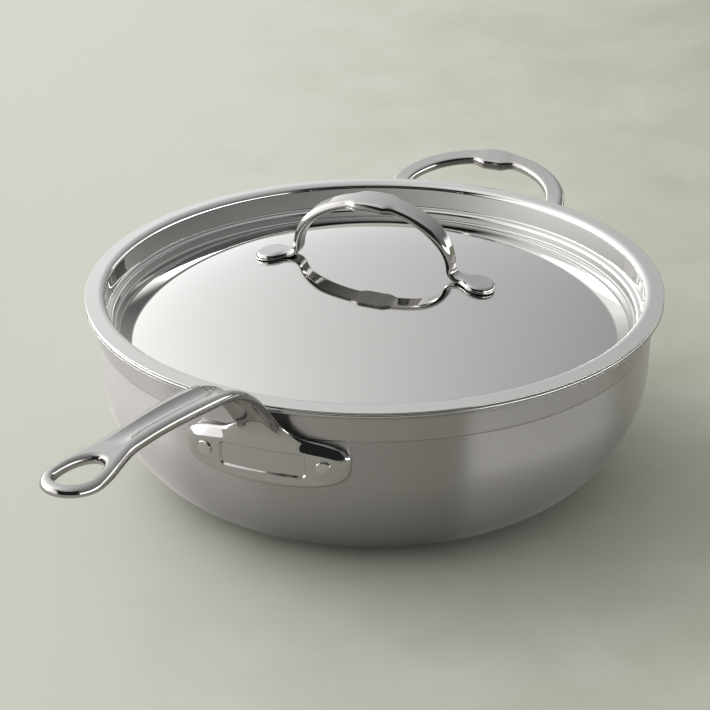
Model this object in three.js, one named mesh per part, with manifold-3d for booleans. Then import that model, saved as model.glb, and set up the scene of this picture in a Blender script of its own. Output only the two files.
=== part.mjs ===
// Saute pan with lid: a clad stainless pan with a cast long handle, a cast helper handle and a domed inset lid.
// Millimetres, +Z up, origin at the middle of the base on the table, +X along the long handle.
import * as THREE from 'three';
import { mergeVertices } from 'three/addons/utils/BufferGeometryUtils.js';
import Module from 'manifold-3d';

// Pan body, measured on the outside
const BODY_DIAMETER = 291.4; // where the curved foot meets the wall
const BASE_DIAMETER = 195.6; // flat that stands on the hob
const FOOT_HEIGHT = 61.4; // rise of the curved foot
const PAN_HEIGHT = 98.7; // table to the top of the lip
const WALL_DRAFT = 2.4; // degrees that the wall leans outwards
const LIP_REACH = 5.6; // how far the lip stands out from the wall
const LIP_RADIUS = 3.5; // bend between wall and lip
const LIP_ANGLE = 12; // degrees that the lip rises outwards

// Clad sheet
const SKIN_GAUGE = 0.45; // each stainless ply
const CORE_GAUGE = 1.3; // aluminium ply
const BOND_GAP = 0.05; // between plies
const LIP_HEM = 1.4; // liner edge turned down over the core

// Lid
const LID_GAUGE = 0.8; // pressed sheet
const LID_SEAT_GAP = 0.3; // flange to lip
const LID_CLEARANCE = 2.25; // inset wall to liner
const LID_INSET = 12.6; // depth of the inset wall below the flange
const LID_FLANGE_FALL = 1.6; // crest of the flange to its outer edge
const LID_FLANGE_RADIUS = 3.4; // bend between flange and inset wall
const LID_SHELF_WIDTH = 3.1; // step at the foot of the inset wall
const LID_SHELF_FALL = 0.6; // slope of that step
const LID_STEP_DEPTH = 5; // drop from the step to the gutter
const LID_STEP_LEAN = 0.8; // how far that drop leans in
const LID_CORNER_RADIUS = 0.9; // bend at the foot of the inset wall
const LID_SHELF_RADIUS = 2.2; // bend at the edge of the step
const LID_GUTTER_RADIUS = 0.8; // bend in the gutter
const LID_GUTTER_LAND = 3; // gutter to the start of the dome
const LID_DOME_RISE = 32; // gutter to the crown of the dome

// Riveting plates of both cast handles
const PLATE_DROP = 30.2; // top of the lip to the middle of the plate
const PLATE_HEIGHT = 27.4; // along the wall
const PLATE_THICKNESS = 5.4; // measured from the wall
const PLATE_ROUNDNESS = 3; // exponent of the plate's rounded outline
const PLATE_GAP = 0.3; // plate to wall
const CAST_EDGE = 1.3; // rounding of the castings' long edges

// Long handle
const HANDLE_LENGTH = 216.5; // wall to the tip of the hanging loop, seen from above
const HANDLE_THICKNESS = 5.2;
const HANDLE_PLATE_HALF = 44.6; // half the plate's width
const NECK_BEND = 22; // bend from the plate to the neck
const NECK_ANGLE = 47; // degrees that the neck climbs outwards
const NECK_CLEARANCE = 4.8; // neck to the lip
const NECK_LENGTH = 19.6; // straight part of the neck
const GRIP_BEND = 93; // bend from the neck to the grip
const GRIP_ANGLE = 14; // degrees that the grip climbs at its start
const GRIP_BOW = 770; // radius of the grip's slight bow
const NECK_BASE_HALF = 19; // half widths along the casting
const NECK_HALF = 11.3;
const GRIP_HALF = 8.9;
const LOOP_HALF = 14.3;
const LOOP_END = 16; // widest place of the loop to the tip
const LOOP_SHOULDER = 48; // widest place of the loop back to the grip's waist
const LOOP_BAR = 6.1; // bar round the hanging hole
const HOLE_LENGTH = 33;
const SCOOP_DEPTH = 2.7; // hollow along the top of the grip
const SCOOP_LENGTH = 92; // from the grip's bend towards the loop
const NECK_HOLLOW = 2.2; // hollow under the neck
const PANEL_HALF = 22.4; // bare recessed panel on the plate, half its width
const PANEL_HEIGHT = 12.6;
const PANEL_DEPTH = 0.6;
const PANEL_CORNER = 2.4; // slope of the panel's rounded ends

// Helper handle
const HELPER_REACH = 52; // wall to the outside of the loop, seen from above
const HELPER_RISE = 14; // degrees that the loop climbs outwards
const HELPER_THICKNESS = 5.2;
const HELPER_HALF = 53.4; // half the loop's width
const HELPER_PLATE_HALF = 51;
const HELPER_LEG = 11; // width of each leg
const HELPER_BOW = 10.5; // width of the bow at its middle
const HELPER_BEND = 24; // bend between plate and loop
const HELPER_BEND_START = 4.5; // middle of the plate to the start of that bend
const HELPER_ROUND = 48; // length of the loop's rounded end
const HELPER_WEB = 1.5; // plate edge to the finger hole
const KNUCKLE_HALF = 8.5; // finger rest on the inside of the bow, half its width
const KNUCKLE_HEIGHT = 4.6;

// Rivets
const RIVET_SPREAD = 30.8; // rivet to the middle of the plate, along the wall
const RIVET_SHANK = 5.2;
const RIVET_HOLE_GAP = 0.3;
const RIVET_HEAD = 7.8; // outside head, over the plate
const RIVET_HEAD_HEIGHT = 1.1;
const RIVET_INNER_HEAD = 10.5; // low head inside the pan
const RIVET_INNER_HEIGHT = 1.2;
const RIVET_SEAT_GAP = 0.1; // heads to the faces that they hold
const RIVET_CROWN = 0.45; // share of a head's radius that is flat

// Lid handle
const LID_HANDLE_SPAN = 116; // between the pads' centres
const LID_HANDLE_ARCH = 86; // between the strap's legs, on their middle lines
const LID_HANDLE_HEIGHT = 34; // crown of the dome to the middle of the strap
const LID_HANDLE_THICKNESS = 5.2; // strap over the arch
const LID_PAD_THICKNESS = 2.6;
const LID_PAD_RADIUS = 9;
const LID_PAD_GAP = 0.3; // pad to dome, filled by the weld
const LID_FOOT_RADIUS = 5; // bend between pad and leg
const LID_LEG_HALF = 4.8; // half widths along the strap
const LID_STRAP_HALF = 6.3;
const LID_KNUCKLE_HALF = 9.8;
const LID_KNUCKLE_FLAT = 7; // half the length of the widened grip
const LID_KNUCKLE_RAMP = 7; // and of the ramp at each end

// Facets
const TURN_SIDES = 40; // round the pan and the lid
const RIVET_SIDES = 10;
const FOOT_STEPS = 5;
const DOME_STEPS = 5;
const BEND_STEPS = 2;

const wasm = await Module();
wasm.setup();
const rad = THREE.MathUtils.degToRad;
const smooth = THREE.MathUtils.smoothstep;
const mix = THREE.MathUtils.lerp;
const v2 = (x, y) => new THREE.Vector2(x, y);
const none = () => 0;

// Closed solid from a geometry, with its shared corners merged.
function toSolid(geometry) {
  const bare = geometry.clone();
  bare.deleteAttribute('normal');
  bare.deleteAttribute('uv');
  const merged = mergeVertices(bare, 1e-4);
  const vertProperties = new Float32Array(merged.attributes.position.array);
  const triVerts = new Uint32Array(merged.index.array);
  return new wasm.Manifold(new wasm.Mesh({ numProp: 3, vertProperties, triVerts }));
}

function toGeometry(solid) {
  const mesh = solid.getMesh();
  const geometry = new THREE.BufferGeometry();
  geometry.setAttribute('position', new THREE.BufferAttribute(new Float32Array(mesh.vertProperties), 3));
  geometry.setIndex(new THREE.BufferAttribute(new Uint32Array(mesh.triVerts), 1));
  geometry.computeVertexNormals();
  return geometry;
}

// Solid of revolution about +Z from a profile of (radius, height) that starts and ends on the axis,
// or closes on itself. The outside lies to the right of the profile's direction.
function revolve(profile, sides = TURN_SIDES) {
  const geometry = new THREE.LatheGeometry(profile, sides);
  geometry.rotateX(Math.PI / 2);
  return geometry;
}

// Pan wall: outside radius and lean at a height, on the curved foot or on the straight wall.
const bodyRadius = BODY_DIAMETER / 2;
const baseRadius = BASE_DIAMETER / 2;
const draft = rad(WALL_DRAFT);
const wallGauge = 2 * SKIN_GAUGE + CORE_GAUGE + 2 * BOND_GAP;

function wallRadius(height) {
  if (height >= FOOT_HEIGHT) return bodyRadius + (height - FOOT_HEIGHT) * Math.tan(draft);
  const drop = (FOOT_HEIGHT - height) / FOOT_HEIGHT;
  return baseRadius + (bodyRadius - baseRadius) * Math.sqrt(1 - drop * drop);
}

function wallLean(height) {
  if (height >= FOOT_HEIGHT) return draft;
  const drop = (FOOT_HEIGHT - height) / FOOT_HEIGHT;
  const rise = ((bodyRadius - baseRadius) * drop) / (FOOT_HEIGHT * Math.sqrt(1 - drop * drop));
  return Math.atan(rise);
}

// Outside of the pan as a path from the base's middle to the lip's edge, with the inward direction at each point.
const lipTilt = rad(LIP_ANGLE);
const lipRise = LIP_RADIUS * (Math.cos(lipTilt) - Math.sin(draft));
const lipRun = LIP_RADIUS * (Math.cos(draft) - Math.sin(lipTilt));
const lipFlat = LIP_REACH - lipRun;
const wallTop = PAN_HEIGHT - wallGauge * Math.cos(lipTilt) - lipRise - lipFlat * Math.tan(lipTilt);
const rimRadius = wallRadius(wallTop) + LIP_REACH;

function panOutline() {
  const points = [{ at: v2(0, 0), inward: v2(0, 1) }];
  for (let i = 0; i <= FOOT_STEPS; i += 1) {
    const turn = (i / FOOT_STEPS) * (Math.PI / 2);
    const across = bodyRadius - baseRadius;
    const at = v2(baseRadius + across * Math.sin(turn), FOOT_HEIGHT * (1 - Math.cos(turn)));
    const inward = v2(-FOOT_HEIGHT * Math.sin(turn), across * Math.cos(turn)).normalize();
    points.push({ at, inward });
  }
  for (let i = 0; i <= BEND_STEPS; i += 1) {
    const turn = mix(draft, Math.PI / 2 - lipTilt, i / BEND_STEPS);
    const centre = v2(wallRadius(wallTop) + LIP_RADIUS * Math.cos(draft), wallTop - LIP_RADIUS * Math.sin(draft));
    const inward = v2(-Math.cos(turn), Math.sin(turn));
    points.push({ at: centre.addScaledVector(inward, LIP_RADIUS), inward });
  }
  const inward = v2(-Math.sin(lipTilt), Math.cos(lipTilt));
  points.push({ at: v2(rimRadius, wallTop + lipRise + lipFlat * Math.tan(lipTilt)), inward });
  return points;
}

const offsetPath = (outline, depth) => outline.map(({ at, inward }) => at.clone().addScaledVector(inward, depth));

// One ply of the clad sheet, between two depths from the outside. A ply can stop short of the lip's edge,
// and a hem can close the edge over the ply that stops short.
function ply(outer, inner, short = 0, hem = null) {
  const outline = panOutline();
  const along = v2(Math.cos(lipTilt), Math.sin(lipTilt));
  const outside = offsetPath(outline, outer);
  const inside = offsetPath(outline, inner).reverse();
  outside[outside.length - 1].addScaledVector(along, -short);
  if (hem === null) inside[0].addScaledVector(along, -short);
  const edge = outline[outline.length - 1];
  const foot = hem === null ? [] : [
    outside[outside.length - 1].clone().addScaledVector(edge.inward, hem - outer),
    edge.at.clone().addScaledVector(edge.inward, hem),
  ];
  return revolve([...outside, ...foot, ...inside]);
}

const coreOuter = SKIN_GAUGE + BOND_GAP;
const coreInner = coreOuter + CORE_GAUGE;
const linerOuter = coreInner + BOND_GAP;

// A strap casting: a sheet carried along a path in the XZ plane, wide across Y.
// Each station along the path has its half width, thickness, hollows in the top and the underside, and the share
// to which it wraps round the pan's axis. Solid to the left of the path is the top face.
function casting({ path, stations, halfWidth, thickness, scoop = none, hollow = none, wrap = none, edge = CAST_EDGE }) {
  const length = path.getLength();
  const flat = [scoop, hollow, wrap].every((shape) => shape === none);
  const across = flat ? [] : [0.66, 0.33, 0, -0.33, -0.66];
  const rings = stations.map((s) => {
    const t = THREE.MathUtils.clamp(s / length, 0, 1);
    const at = path.getPointAt(t);
    const tangent = path.getTangentAt(t);
    const half = halfWidth(s);
    const thick = thickness(s);
    const round = Math.min(edge, half * 0.9, thick * 0.45);
    const section = [];
    const corner = (su, sv, from) => {
      for (let i = 0; i <= 2; i += 1) {
        const a = from + (i * Math.PI) / 4;
        const u = su * (half - round) + round * Math.cos(a);
        const v = sv * (thick / 2 - round) + round * Math.sin(a);
        section.push([u, v]);
      }
    };
    const dish = (f) => (1 - f * f) ** 2;
    corner(1, -1, -Math.PI / 2);
    corner(1, 1, 0);
    across.forEach((f) => section.push([f * (half - round), thick / 2 - scoop(s) * dish(f)]));
    corner(-1, 1, Math.PI / 2);
    corner(-1, -1, Math.PI);
    across.forEach((f) => section.push([-f * (half - round), -thick / 2 + hollow(s) * dish(f)]));
    const share = wrap(s);
    return section.map(([u, v]) => {
      const x = at.x - v * tangent.y;
      const z = at.y + v * tangent.x;
      const straight = new THREE.Vector3(x, u, z);
      const turned = new THREE.Vector3(x * Math.cos(u / at.x), x * Math.sin(u / at.x), z);
      return share > 0 ? straight.lerp(turned, share) : straight;
    });
  });
  return loft(rings);
}

// Closed solid through a row of rings that have equal counts of points, with a fan at each end.
function loft(rings) {
  const count = rings[0].length;
  const middle = (ring) => ring.reduce((sum, p) => sum.add(p), new THREE.Vector3()).divideScalar(count);
  const points = [...rings.flat(), middle(rings[0]), middle(rings[rings.length - 1])];
  const first = points.length - 2;
  const faces = [];
  for (let j = 0; j < count; j += 1) {
    const k = (j + 1) % count;
    for (let i = 0; i + 1 < rings.length; i += 1) {
      const a = i * count + j;
      const b = i * count + k;
      faces.push(a, b, a + count, b, b + count, a + count);
    }
    const last = (rings.length - 1) * count;
    faces.push(first, k, j, first + 1, last + j, last + k);
  }
  const geometry = new THREE.BufferGeometry();
  geometry.setAttribute('position', new THREE.Float32BufferAttribute(points.flatMap((p) => p.toArray()), 3));
  geometry.setIndex(faces);
  return geometry;
}

// Places along a stretch, closer together at its start, its end or both.
function spread(from, to, count, dense = 'none') {
  const place = {
    none: (t) => t,
    start: (t) => 1 - Math.cos((t * Math.PI) / 2),
    end: (t) => Math.sin((t * Math.PI) / 2),
    both: (t) => (1 - Math.cos(t * Math.PI)) / 2,
  }[dense];
  return Array.from({ length: count + 1 }, (_, i) => mix(from, to, place(i / count)));
}

// Half width of a plate with a rounded outline, at a distance from its lower edge.
function plateHalf(s, half) {
  const away = Math.min(1, Math.abs((2 * s) / PLATE_HEIGHT - 1));
  return half * (1 - away ** PLATE_ROUNDNESS) ** (1 / PLATE_ROUNDNESS);
}

// Riveting plates lie along the wall at their middle height, whatever the wall's lean there.
const plateHeight = PAN_HEIGHT - PLATE_DROP;
const plateLean = wallLean(plateHeight);
const plateUp = v2(Math.sin(plateLean), Math.cos(plateLean));
const plateOut = v2(Math.cos(plateLean), -Math.sin(plateLean));
const plateMiddle = v2(wallRadius(plateHeight), plateHeight).addScaledVector(plateOut, PLATE_GAP + PLATE_THICKNESS / 2);
const plateFoot = plateMiddle.clone().addScaledVector(plateUp, -PLATE_HEIGHT / 2);

// Adds an arc that carries on from the path's end, turning outwards to a heading above the horizontal.
function bendTo(path, start, fromHeading, toHeading, radius) {
  const centre = v2(start.x + radius * Math.sin(fromHeading), start.y - radius * Math.cos(fromHeading));
  const arc = new THREE.EllipseCurve(
    centre.x, centre.y, radius, radius, fromHeading + Math.PI / 2, toHeading + Math.PI / 2, true);
  path.add(arc);
  return arc.getPoint(1);
}

// Long handle: up the plate, past the lip along the neck, and along the grip to the hanging loop.
function longHandlePath() {
  const path = new THREE.CurvePath();
  const plateHeading = Math.PI / 2 - plateLean;
  const neckHeading = rad(NECK_ANGLE);
  const neckWay = v2(Math.cos(neckHeading), Math.sin(neckHeading));
  const away = v2(neckWay.y, -neckWay.x);
  const past = v2(rimRadius, PAN_HEIGHT).addScaledVector(away, NECK_CLEARANCE + HANDLE_THICKNESS / 2);
  const meet = past.sub(plateMiddle).dot(away) / plateUp.dot(away);
  const bendStart = meet - NECK_BEND * Math.tan((plateHeading - neckHeading) / 2);
  const start = plateMiddle.clone().addScaledVector(plateUp, bendStart);
  path.add(new THREE.LineCurve(plateFoot, start));
  const neckStart = bendTo(path, start, plateHeading, neckHeading, NECK_BEND);
  const neckEnd = neckStart.clone().addScaledVector(neckWay, NECK_LENGTH);
  path.add(new THREE.LineCurve(neckStart, neckEnd));
  const gripHeading = rad(GRIP_ANGLE);
  const gripStart = bendTo(path, neckEnd, neckHeading, gripHeading, GRIP_BEND);
  const run = wallRadius(plateHeight) + HANDLE_LENGTH - gripStart.x;
  bendTo(path, gripStart, gripHeading, Math.asin(Math.sin(gripHeading) - run / GRIP_BOW), GRIP_BOW);
  return path;
}

function longHandle() {
  const path = longHandlePath();
  const [bendStart, neckStart, neckEnd, gripStart, tip] = path.getCurveLengths();
  const widest = tip - LOOP_END;
  const waist = widest - LOOP_SHOULDER;
  const strapHalf = (s) => {
    if (s > widest) return LOOP_HALF * Math.sqrt(Math.max(0, 1 - ((s - widest) / LOOP_END) ** 2));
    if (s > waist) return mix(GRIP_HALF, LOOP_HALF, smooth(s, waist, widest));
    const neck = mix(NECK_BASE_HALF, NECK_HALF, smooth(s, bendStart, neckStart));
    return neck - (NECK_HALF - GRIP_HALF) * smooth(s, gripStart, waist);
  };
  const neckJoin = 8;
  const halfWidth = (s) => {
    const plate = s < PLATE_HEIGHT ? plateHalf(s, HANDLE_PLATE_HALF) : 0;
    if (s < PLATE_HEIGHT / 2) return plate;
    return (plate ** neckJoin + strapHalf(s) ** neckJoin) ** (1 / neckJoin);
  };
  const thickness = (s) => mix(PLATE_THICKNESS, HANDLE_THICKNESS, smooth(s, bendStart, neckStart));
  const scoop = (s) => SCOOP_DEPTH * smooth(s, neckEnd, gripStart) * (1 - smooth(s, gripStart, gripStart + SCOOP_LENGTH));
  const hollow = (s) => NECK_HOLLOW * smooth(s, bendStart, neckStart) * (1 - smooth(s, neckEnd, gripStart));
  const wrap = (s) => 1 - smooth(s, PLATE_HEIGHT, neckEnd);
  const stations = [
    ...spread(PLATE_HEIGHT * 0.01, PLATE_HEIGHT / 2, 6, 'start'),
    ...spread(PLATE_HEIGHT / 2, PLATE_HEIGHT, 6, 'end').slice(1),
    ...spread(PLATE_HEIGHT, neckStart, 3).slice(1),
    ...spread(neckStart, neckEnd, 2).slice(1),
    ...spread(neckEnd, gripStart, 5).slice(1),
    ...spread(gripStart, waist, 4).slice(1),
    ...spread(waist, widest, 5).slice(1),
    ...spread(widest, tip - LOOP_END * 0.01, 5, 'end').slice(1),
  ];
  const body = toSolid(casting({ path, stations, halfWidth, thickness, scoop, hollow, wrap }));

  const holeEnd = tip - LOOP_BAR;
  const holeStart = holeEnd - HOLE_LENGTH;
  const holeHalf = (s) => {
    const near = THREE.MathUtils.clamp((s - holeStart) / (widest - holeStart), 0, 1);
    const far = THREE.MathUtils.clamp((s - widest) / (holeEnd - widest), 0, 1);
    const inner = LOOP_HALF - LOOP_BAR;
    return inner * Math.sqrt(1 - (s < widest ? 1 - near : far) ** 2);
  };
  const inset = HOLE_LENGTH * 0.005;
  const hole = toSolid(casting({
    path,
    stations: [
      ...spread(holeStart + inset, widest, 6, 'start'),
      ...spread(widest, holeEnd - inset, 6, 'end').slice(1),
    ],
    halfWidth: holeHalf,
    thickness: () => HANDLE_THICKNESS * 3,
    edge: 0.1,
  }));
  return body.subtract(hole).subtract(panelCutter());
}

// Bare recessed panel on the front of the long handle's plate.
function panelCutter() {
  const middle = PLATE_HEIGHT / 2;
  const low = middle - PANEL_HEIGHT / 2;
  const high = middle + PANEL_HEIGHT / 2;
  const ends = (s) => {
    const away = Math.max(0, Math.abs(s - middle) - (PANEL_HEIGHT / 2 - PANEL_CORNER));
    return PANEL_HALF - PANEL_CORNER + Math.sqrt(Math.max(0, PANEL_CORNER ** 2 - away ** 2));
  };
  const front = new THREE.CurvePath();
  const shift = plateOut.clone().multiplyScalar(PLATE_THICKNESS);
  front.add(new THREE.LineCurve(
    plateFoot.clone().add(shift), plateFoot.clone().addScaledVector(plateUp, PLATE_HEIGHT).add(shift)));
  return toSolid(casting({
    path: front,
    stations: [
      ...spread(low, low + PANEL_CORNER, 3, 'start'),
      ...spread(high - PANEL_CORNER, high, 3, 'end'),
    ],
    halfWidth: ends,
    thickness: () => PLATE_THICKNESS + 2 * PANEL_DEPTH,
    wrap: () => 1,
    edge: 0.1,
  }));
}

// Helper handle, made along +X like the long handle and turned to -X when it is placed.
function helperHandle() {
  const path = new THREE.CurvePath();
  const heading = Math.PI / 2 - plateLean;
  const start = plateMiddle.clone().addScaledVector(plateUp, HELPER_BEND_START);
  path.add(new THREE.LineCurve(plateFoot, start));
  const bowStart = bendTo(path, start, heading, rad(HELPER_RISE), HELPER_BEND);
  const run = wallRadius(plateHeight) + HELPER_REACH - bowStart.x;
  path.add(new THREE.LineCurve(bowStart, v2(bowStart.x + run, bowStart.y + run * Math.tan(rad(HELPER_RISE)))));
  const [plateEnd, bendEnd, tip] = path.getCurveLengths();

  const round = tip - HELPER_ROUND;
  const bow = (s, half, length) => half * Math.sqrt(Math.max(0, 1 - Math.max(0, (s - round) / length) ** 2));
  const halfWidth = (s) => {
    if (s < PLATE_HEIGHT / 2) return plateHalf(s, HELPER_PLATE_HALF);
    return bow(s, mix(HELPER_PLATE_HALF, HELPER_HALF, smooth(s, PLATE_HEIGHT / 2, bendEnd)), HELPER_ROUND);
  };
  const thickness = (s) => mix(PLATE_THICKNESS, HELPER_THICKNESS, smooth(s, plateEnd, bendEnd));
  const wrap = (s) => 1 - smooth(s, plateEnd, bendEnd);
  const body = toSolid(casting({
    path,
    stations: [
      ...spread(PLATE_HEIGHT * 0.01, PLATE_HEIGHT / 2, 6, 'start'),
      ...spread(PLATE_HEIGHT / 2, bendEnd, 9).slice(1),
      ...spread(bendEnd, tip - HELPER_ROUND * 0.003, 9, 'end').slice(1),
    ],
    halfWidth,
    thickness,
    wrap,
  }));

  const holeStart = PLATE_HEIGHT + HELPER_WEB;
  const holeEnd = tip - HELPER_BOW;
  const holeHalf = (s) => bow(s, HELPER_HALF - HELPER_LEG, holeEnd - round);
  const opening = (from, to, half, grow) => toSolid(casting({
    path,
    stations: [...spread(from, bendEnd, 5), ...spread(bendEnd, to, 8, 'end').slice(1)],
    halfWidth: half,
    thickness: (s) => thickness(s) * grow,
    wrap,
    edge: 0.1,
  }));
  const hole = opening(holeStart, holeEnd - HELPER_ROUND * 0.003, holeHalf, 2.4);
  const knuckleTop = holeEnd - KNUCKLE_HEIGHT;
  const knuckle = toSolid(casting({
    path,
    stations: spread(knuckleTop, holeEnd + KNUCKLE_HEIGHT, 5),
    halfWidth: (s) => KNUCKLE_HALF + KNUCKLE_HEIGHT * smooth(s, knuckleTop, holeEnd),
    thickness: () => HELPER_THICKNESS * 3,
    edge: 0.1,
  }));
  return body.subtract(hole.subtract(knuckle));
}

// Rivet along +X from the liner out to the plate's face. Its heads are low domes.
const rivetAngle = RIVET_SPREAD / wallRadius(plateHeight);
const headBulge = (RIVET_INNER_HEAD / 2) ** 2 / bodyRadius / 2; // how far the curved wall rises under a flat head
const facetSag = bodyRadius * (1 - Math.cos(Math.PI / TURN_SIDES)); // and a flat facet
const rivetInner = -wallGauge - RIVET_SEAT_GAP - headBulge - facetSag;
const rivetOuter = PLATE_GAP + PLATE_THICKNESS + RIVET_SEAT_GAP;

function rivet() {
  const shank = RIVET_SHANK / 2;
  const outer = RIVET_HEAD / 2;
  const inner = RIVET_INNER_HEAD / 2;
  const profile = [
    v2(0, rivetInner - RIVET_INNER_HEIGHT),
    v2(inner * RIVET_CROWN, rivetInner - RIVET_INNER_HEIGHT),
    v2(inner, rivetInner - RIVET_INNER_HEIGHT * 0.4),
    v2(inner, rivetInner),
    v2(shank, rivetInner),
    v2(shank, rivetOuter),
    v2(outer, rivetOuter),
    v2(outer, rivetOuter + RIVET_HEAD_HEIGHT * 0.6),
    v2(outer * RIVET_CROWN, rivetOuter + RIVET_HEAD_HEIGHT),
    v2(0, rivetOuter + RIVET_HEAD_HEIGHT),
  ];
  return revolve(profile, RIVET_SIDES);
}

// Drill that clears a rivet's shank through the plate and the three plies.
function rivetDrill() {
  const radius = RIVET_SHANK / 2 + RIVET_HOLE_GAP;
  const reach = wallGauge + PLATE_THICKNESS + RIVET_HEAD;
  return new THREE.CylinderGeometry(radius, radius, 2 * reach, RIVET_SIDES).rotateX(Math.PI / 2);
}

// Carries a piece made along +Z to a rivet's place, at an angle round the pan.
function atRivet(geometry, angle) {
  const seat = v2(wallRadius(plateHeight), plateHeight);
  geometry.rotateY(Math.PI / 2 + plateLean);
  geometry.translate(seat.x, 0, seat.y);
  geometry.rotateZ(angle);
  return geometry;
}

function drilled(solid, angles) {
  return angles.reduce((cut, angle) => cut.subtract(toSolid(atRivet(rivetDrill(), angle))), solid);
}

// Lid: flange on the lip, inset wall, step, gutter and dome, as the top face's path with rounded bends.
const flangeTop = PAN_HEIGHT + LID_SEAT_GAP + LID_GAUGE;
const flangeCrest = flangeTop + LID_FLANGE_FALL;
const insetFoot = flangeTop - LID_INSET;
const lidWallRadius = (height) => wallRadius(height) - wallGauge - LID_CLEARANCE - LID_GAUGE;
const insetRadius = lidWallRadius(insetFoot - LID_SHELF_FALL - LID_GAUGE);
const shelfRadius = insetRadius - LID_SHELF_WIDTH;
const gutterRadius = shelfRadius - LID_STEP_LEAN;
const gutterHeight = insetFoot - LID_SHELF_FALL - LID_STEP_DEPTH;
const domeRadius = (gutterRadius ** 2 + LID_DOME_RISE ** 2) / (2 * LID_DOME_RISE);
const domeTop = gutterHeight + LID_DOME_RISE;
const domeEdge = gutterRadius - LID_GUTTER_LAND;
const domeHeight = (radius) => domeTop - domeRadius + Math.sqrt(domeRadius ** 2 - radius ** 2);
const domeSlope = (radius) => Math.asin(radius / domeRadius);

// Top face's points from the rim to the gutter, each bend as an arc, with the direction out of the sheet's underside.
function lidOutline() {
  const corners = [
    { at: v2(rimRadius, flangeTop), bend: 0 },
    { at: v2(insetRadius + (flangeCrest - insetFoot) * Math.tan(draft), flangeCrest), bend: LID_FLANGE_RADIUS },
    { at: v2(insetRadius, insetFoot), bend: LID_CORNER_RADIUS },
    { at: v2(shelfRadius, insetFoot - LID_SHELF_FALL), bend: LID_SHELF_RADIUS },
    { at: v2(gutterRadius, gutterHeight), bend: LID_GUTTER_RADIUS },
    { at: v2(domeEdge, domeHeight(domeEdge)), bend: 0 },
  ];
  const points = [{ at: corners[0].at, under: v2(0, -1) }];
  for (let i = 1; i + 1 < corners.length; i += 1) {
    const { at, bend } = corners[i];
    const into = at.clone().sub(corners[i - 1].at).normalize();
    const out = corners[i + 1].at.clone().sub(at).normalize();
    const turn = into.cross(out);
    const half = Math.acos(THREE.MathUtils.clamp(into.dot(out), -1, 1)) / 2;
    const side = Math.sign(turn);
    const under = (way) => v2(-way.y, way.x);
    const centre = at.clone().addScaledVector(into, -bend * Math.tan(half)).addScaledVector(under(into), side * bend);
    for (let step = 0; step <= BEND_STEPS; step += 1) {
      const way = into.clone().rotateAround(v2(0, 0), side * 2 * half * (step / BEND_STEPS));
      points.push({ at: centre.clone().addScaledVector(under(way), -side * bend), under: under(way) });
    }
  }
  for (let i = 0; i <= DOME_STEPS; i += 1) {
    const slope = domeSlope(domeEdge) * (1 - i / DOME_STEPS);
    const radius = domeRadius * Math.sin(slope);
    points.push({ at: v2(radius, domeHeight(radius)), under: v2(-Math.sin(slope), -Math.cos(slope)) });
  }
  return points;
}

function lidShell() {
  const outline = lidOutline();
  const top = outline.map(({ at }) => at);
  const underside = outline.map(({ at, under }) => at.clone().addScaledVector(under, LID_GAUGE));
  return revolve([...underside.reverse(), ...top]);
}

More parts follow.
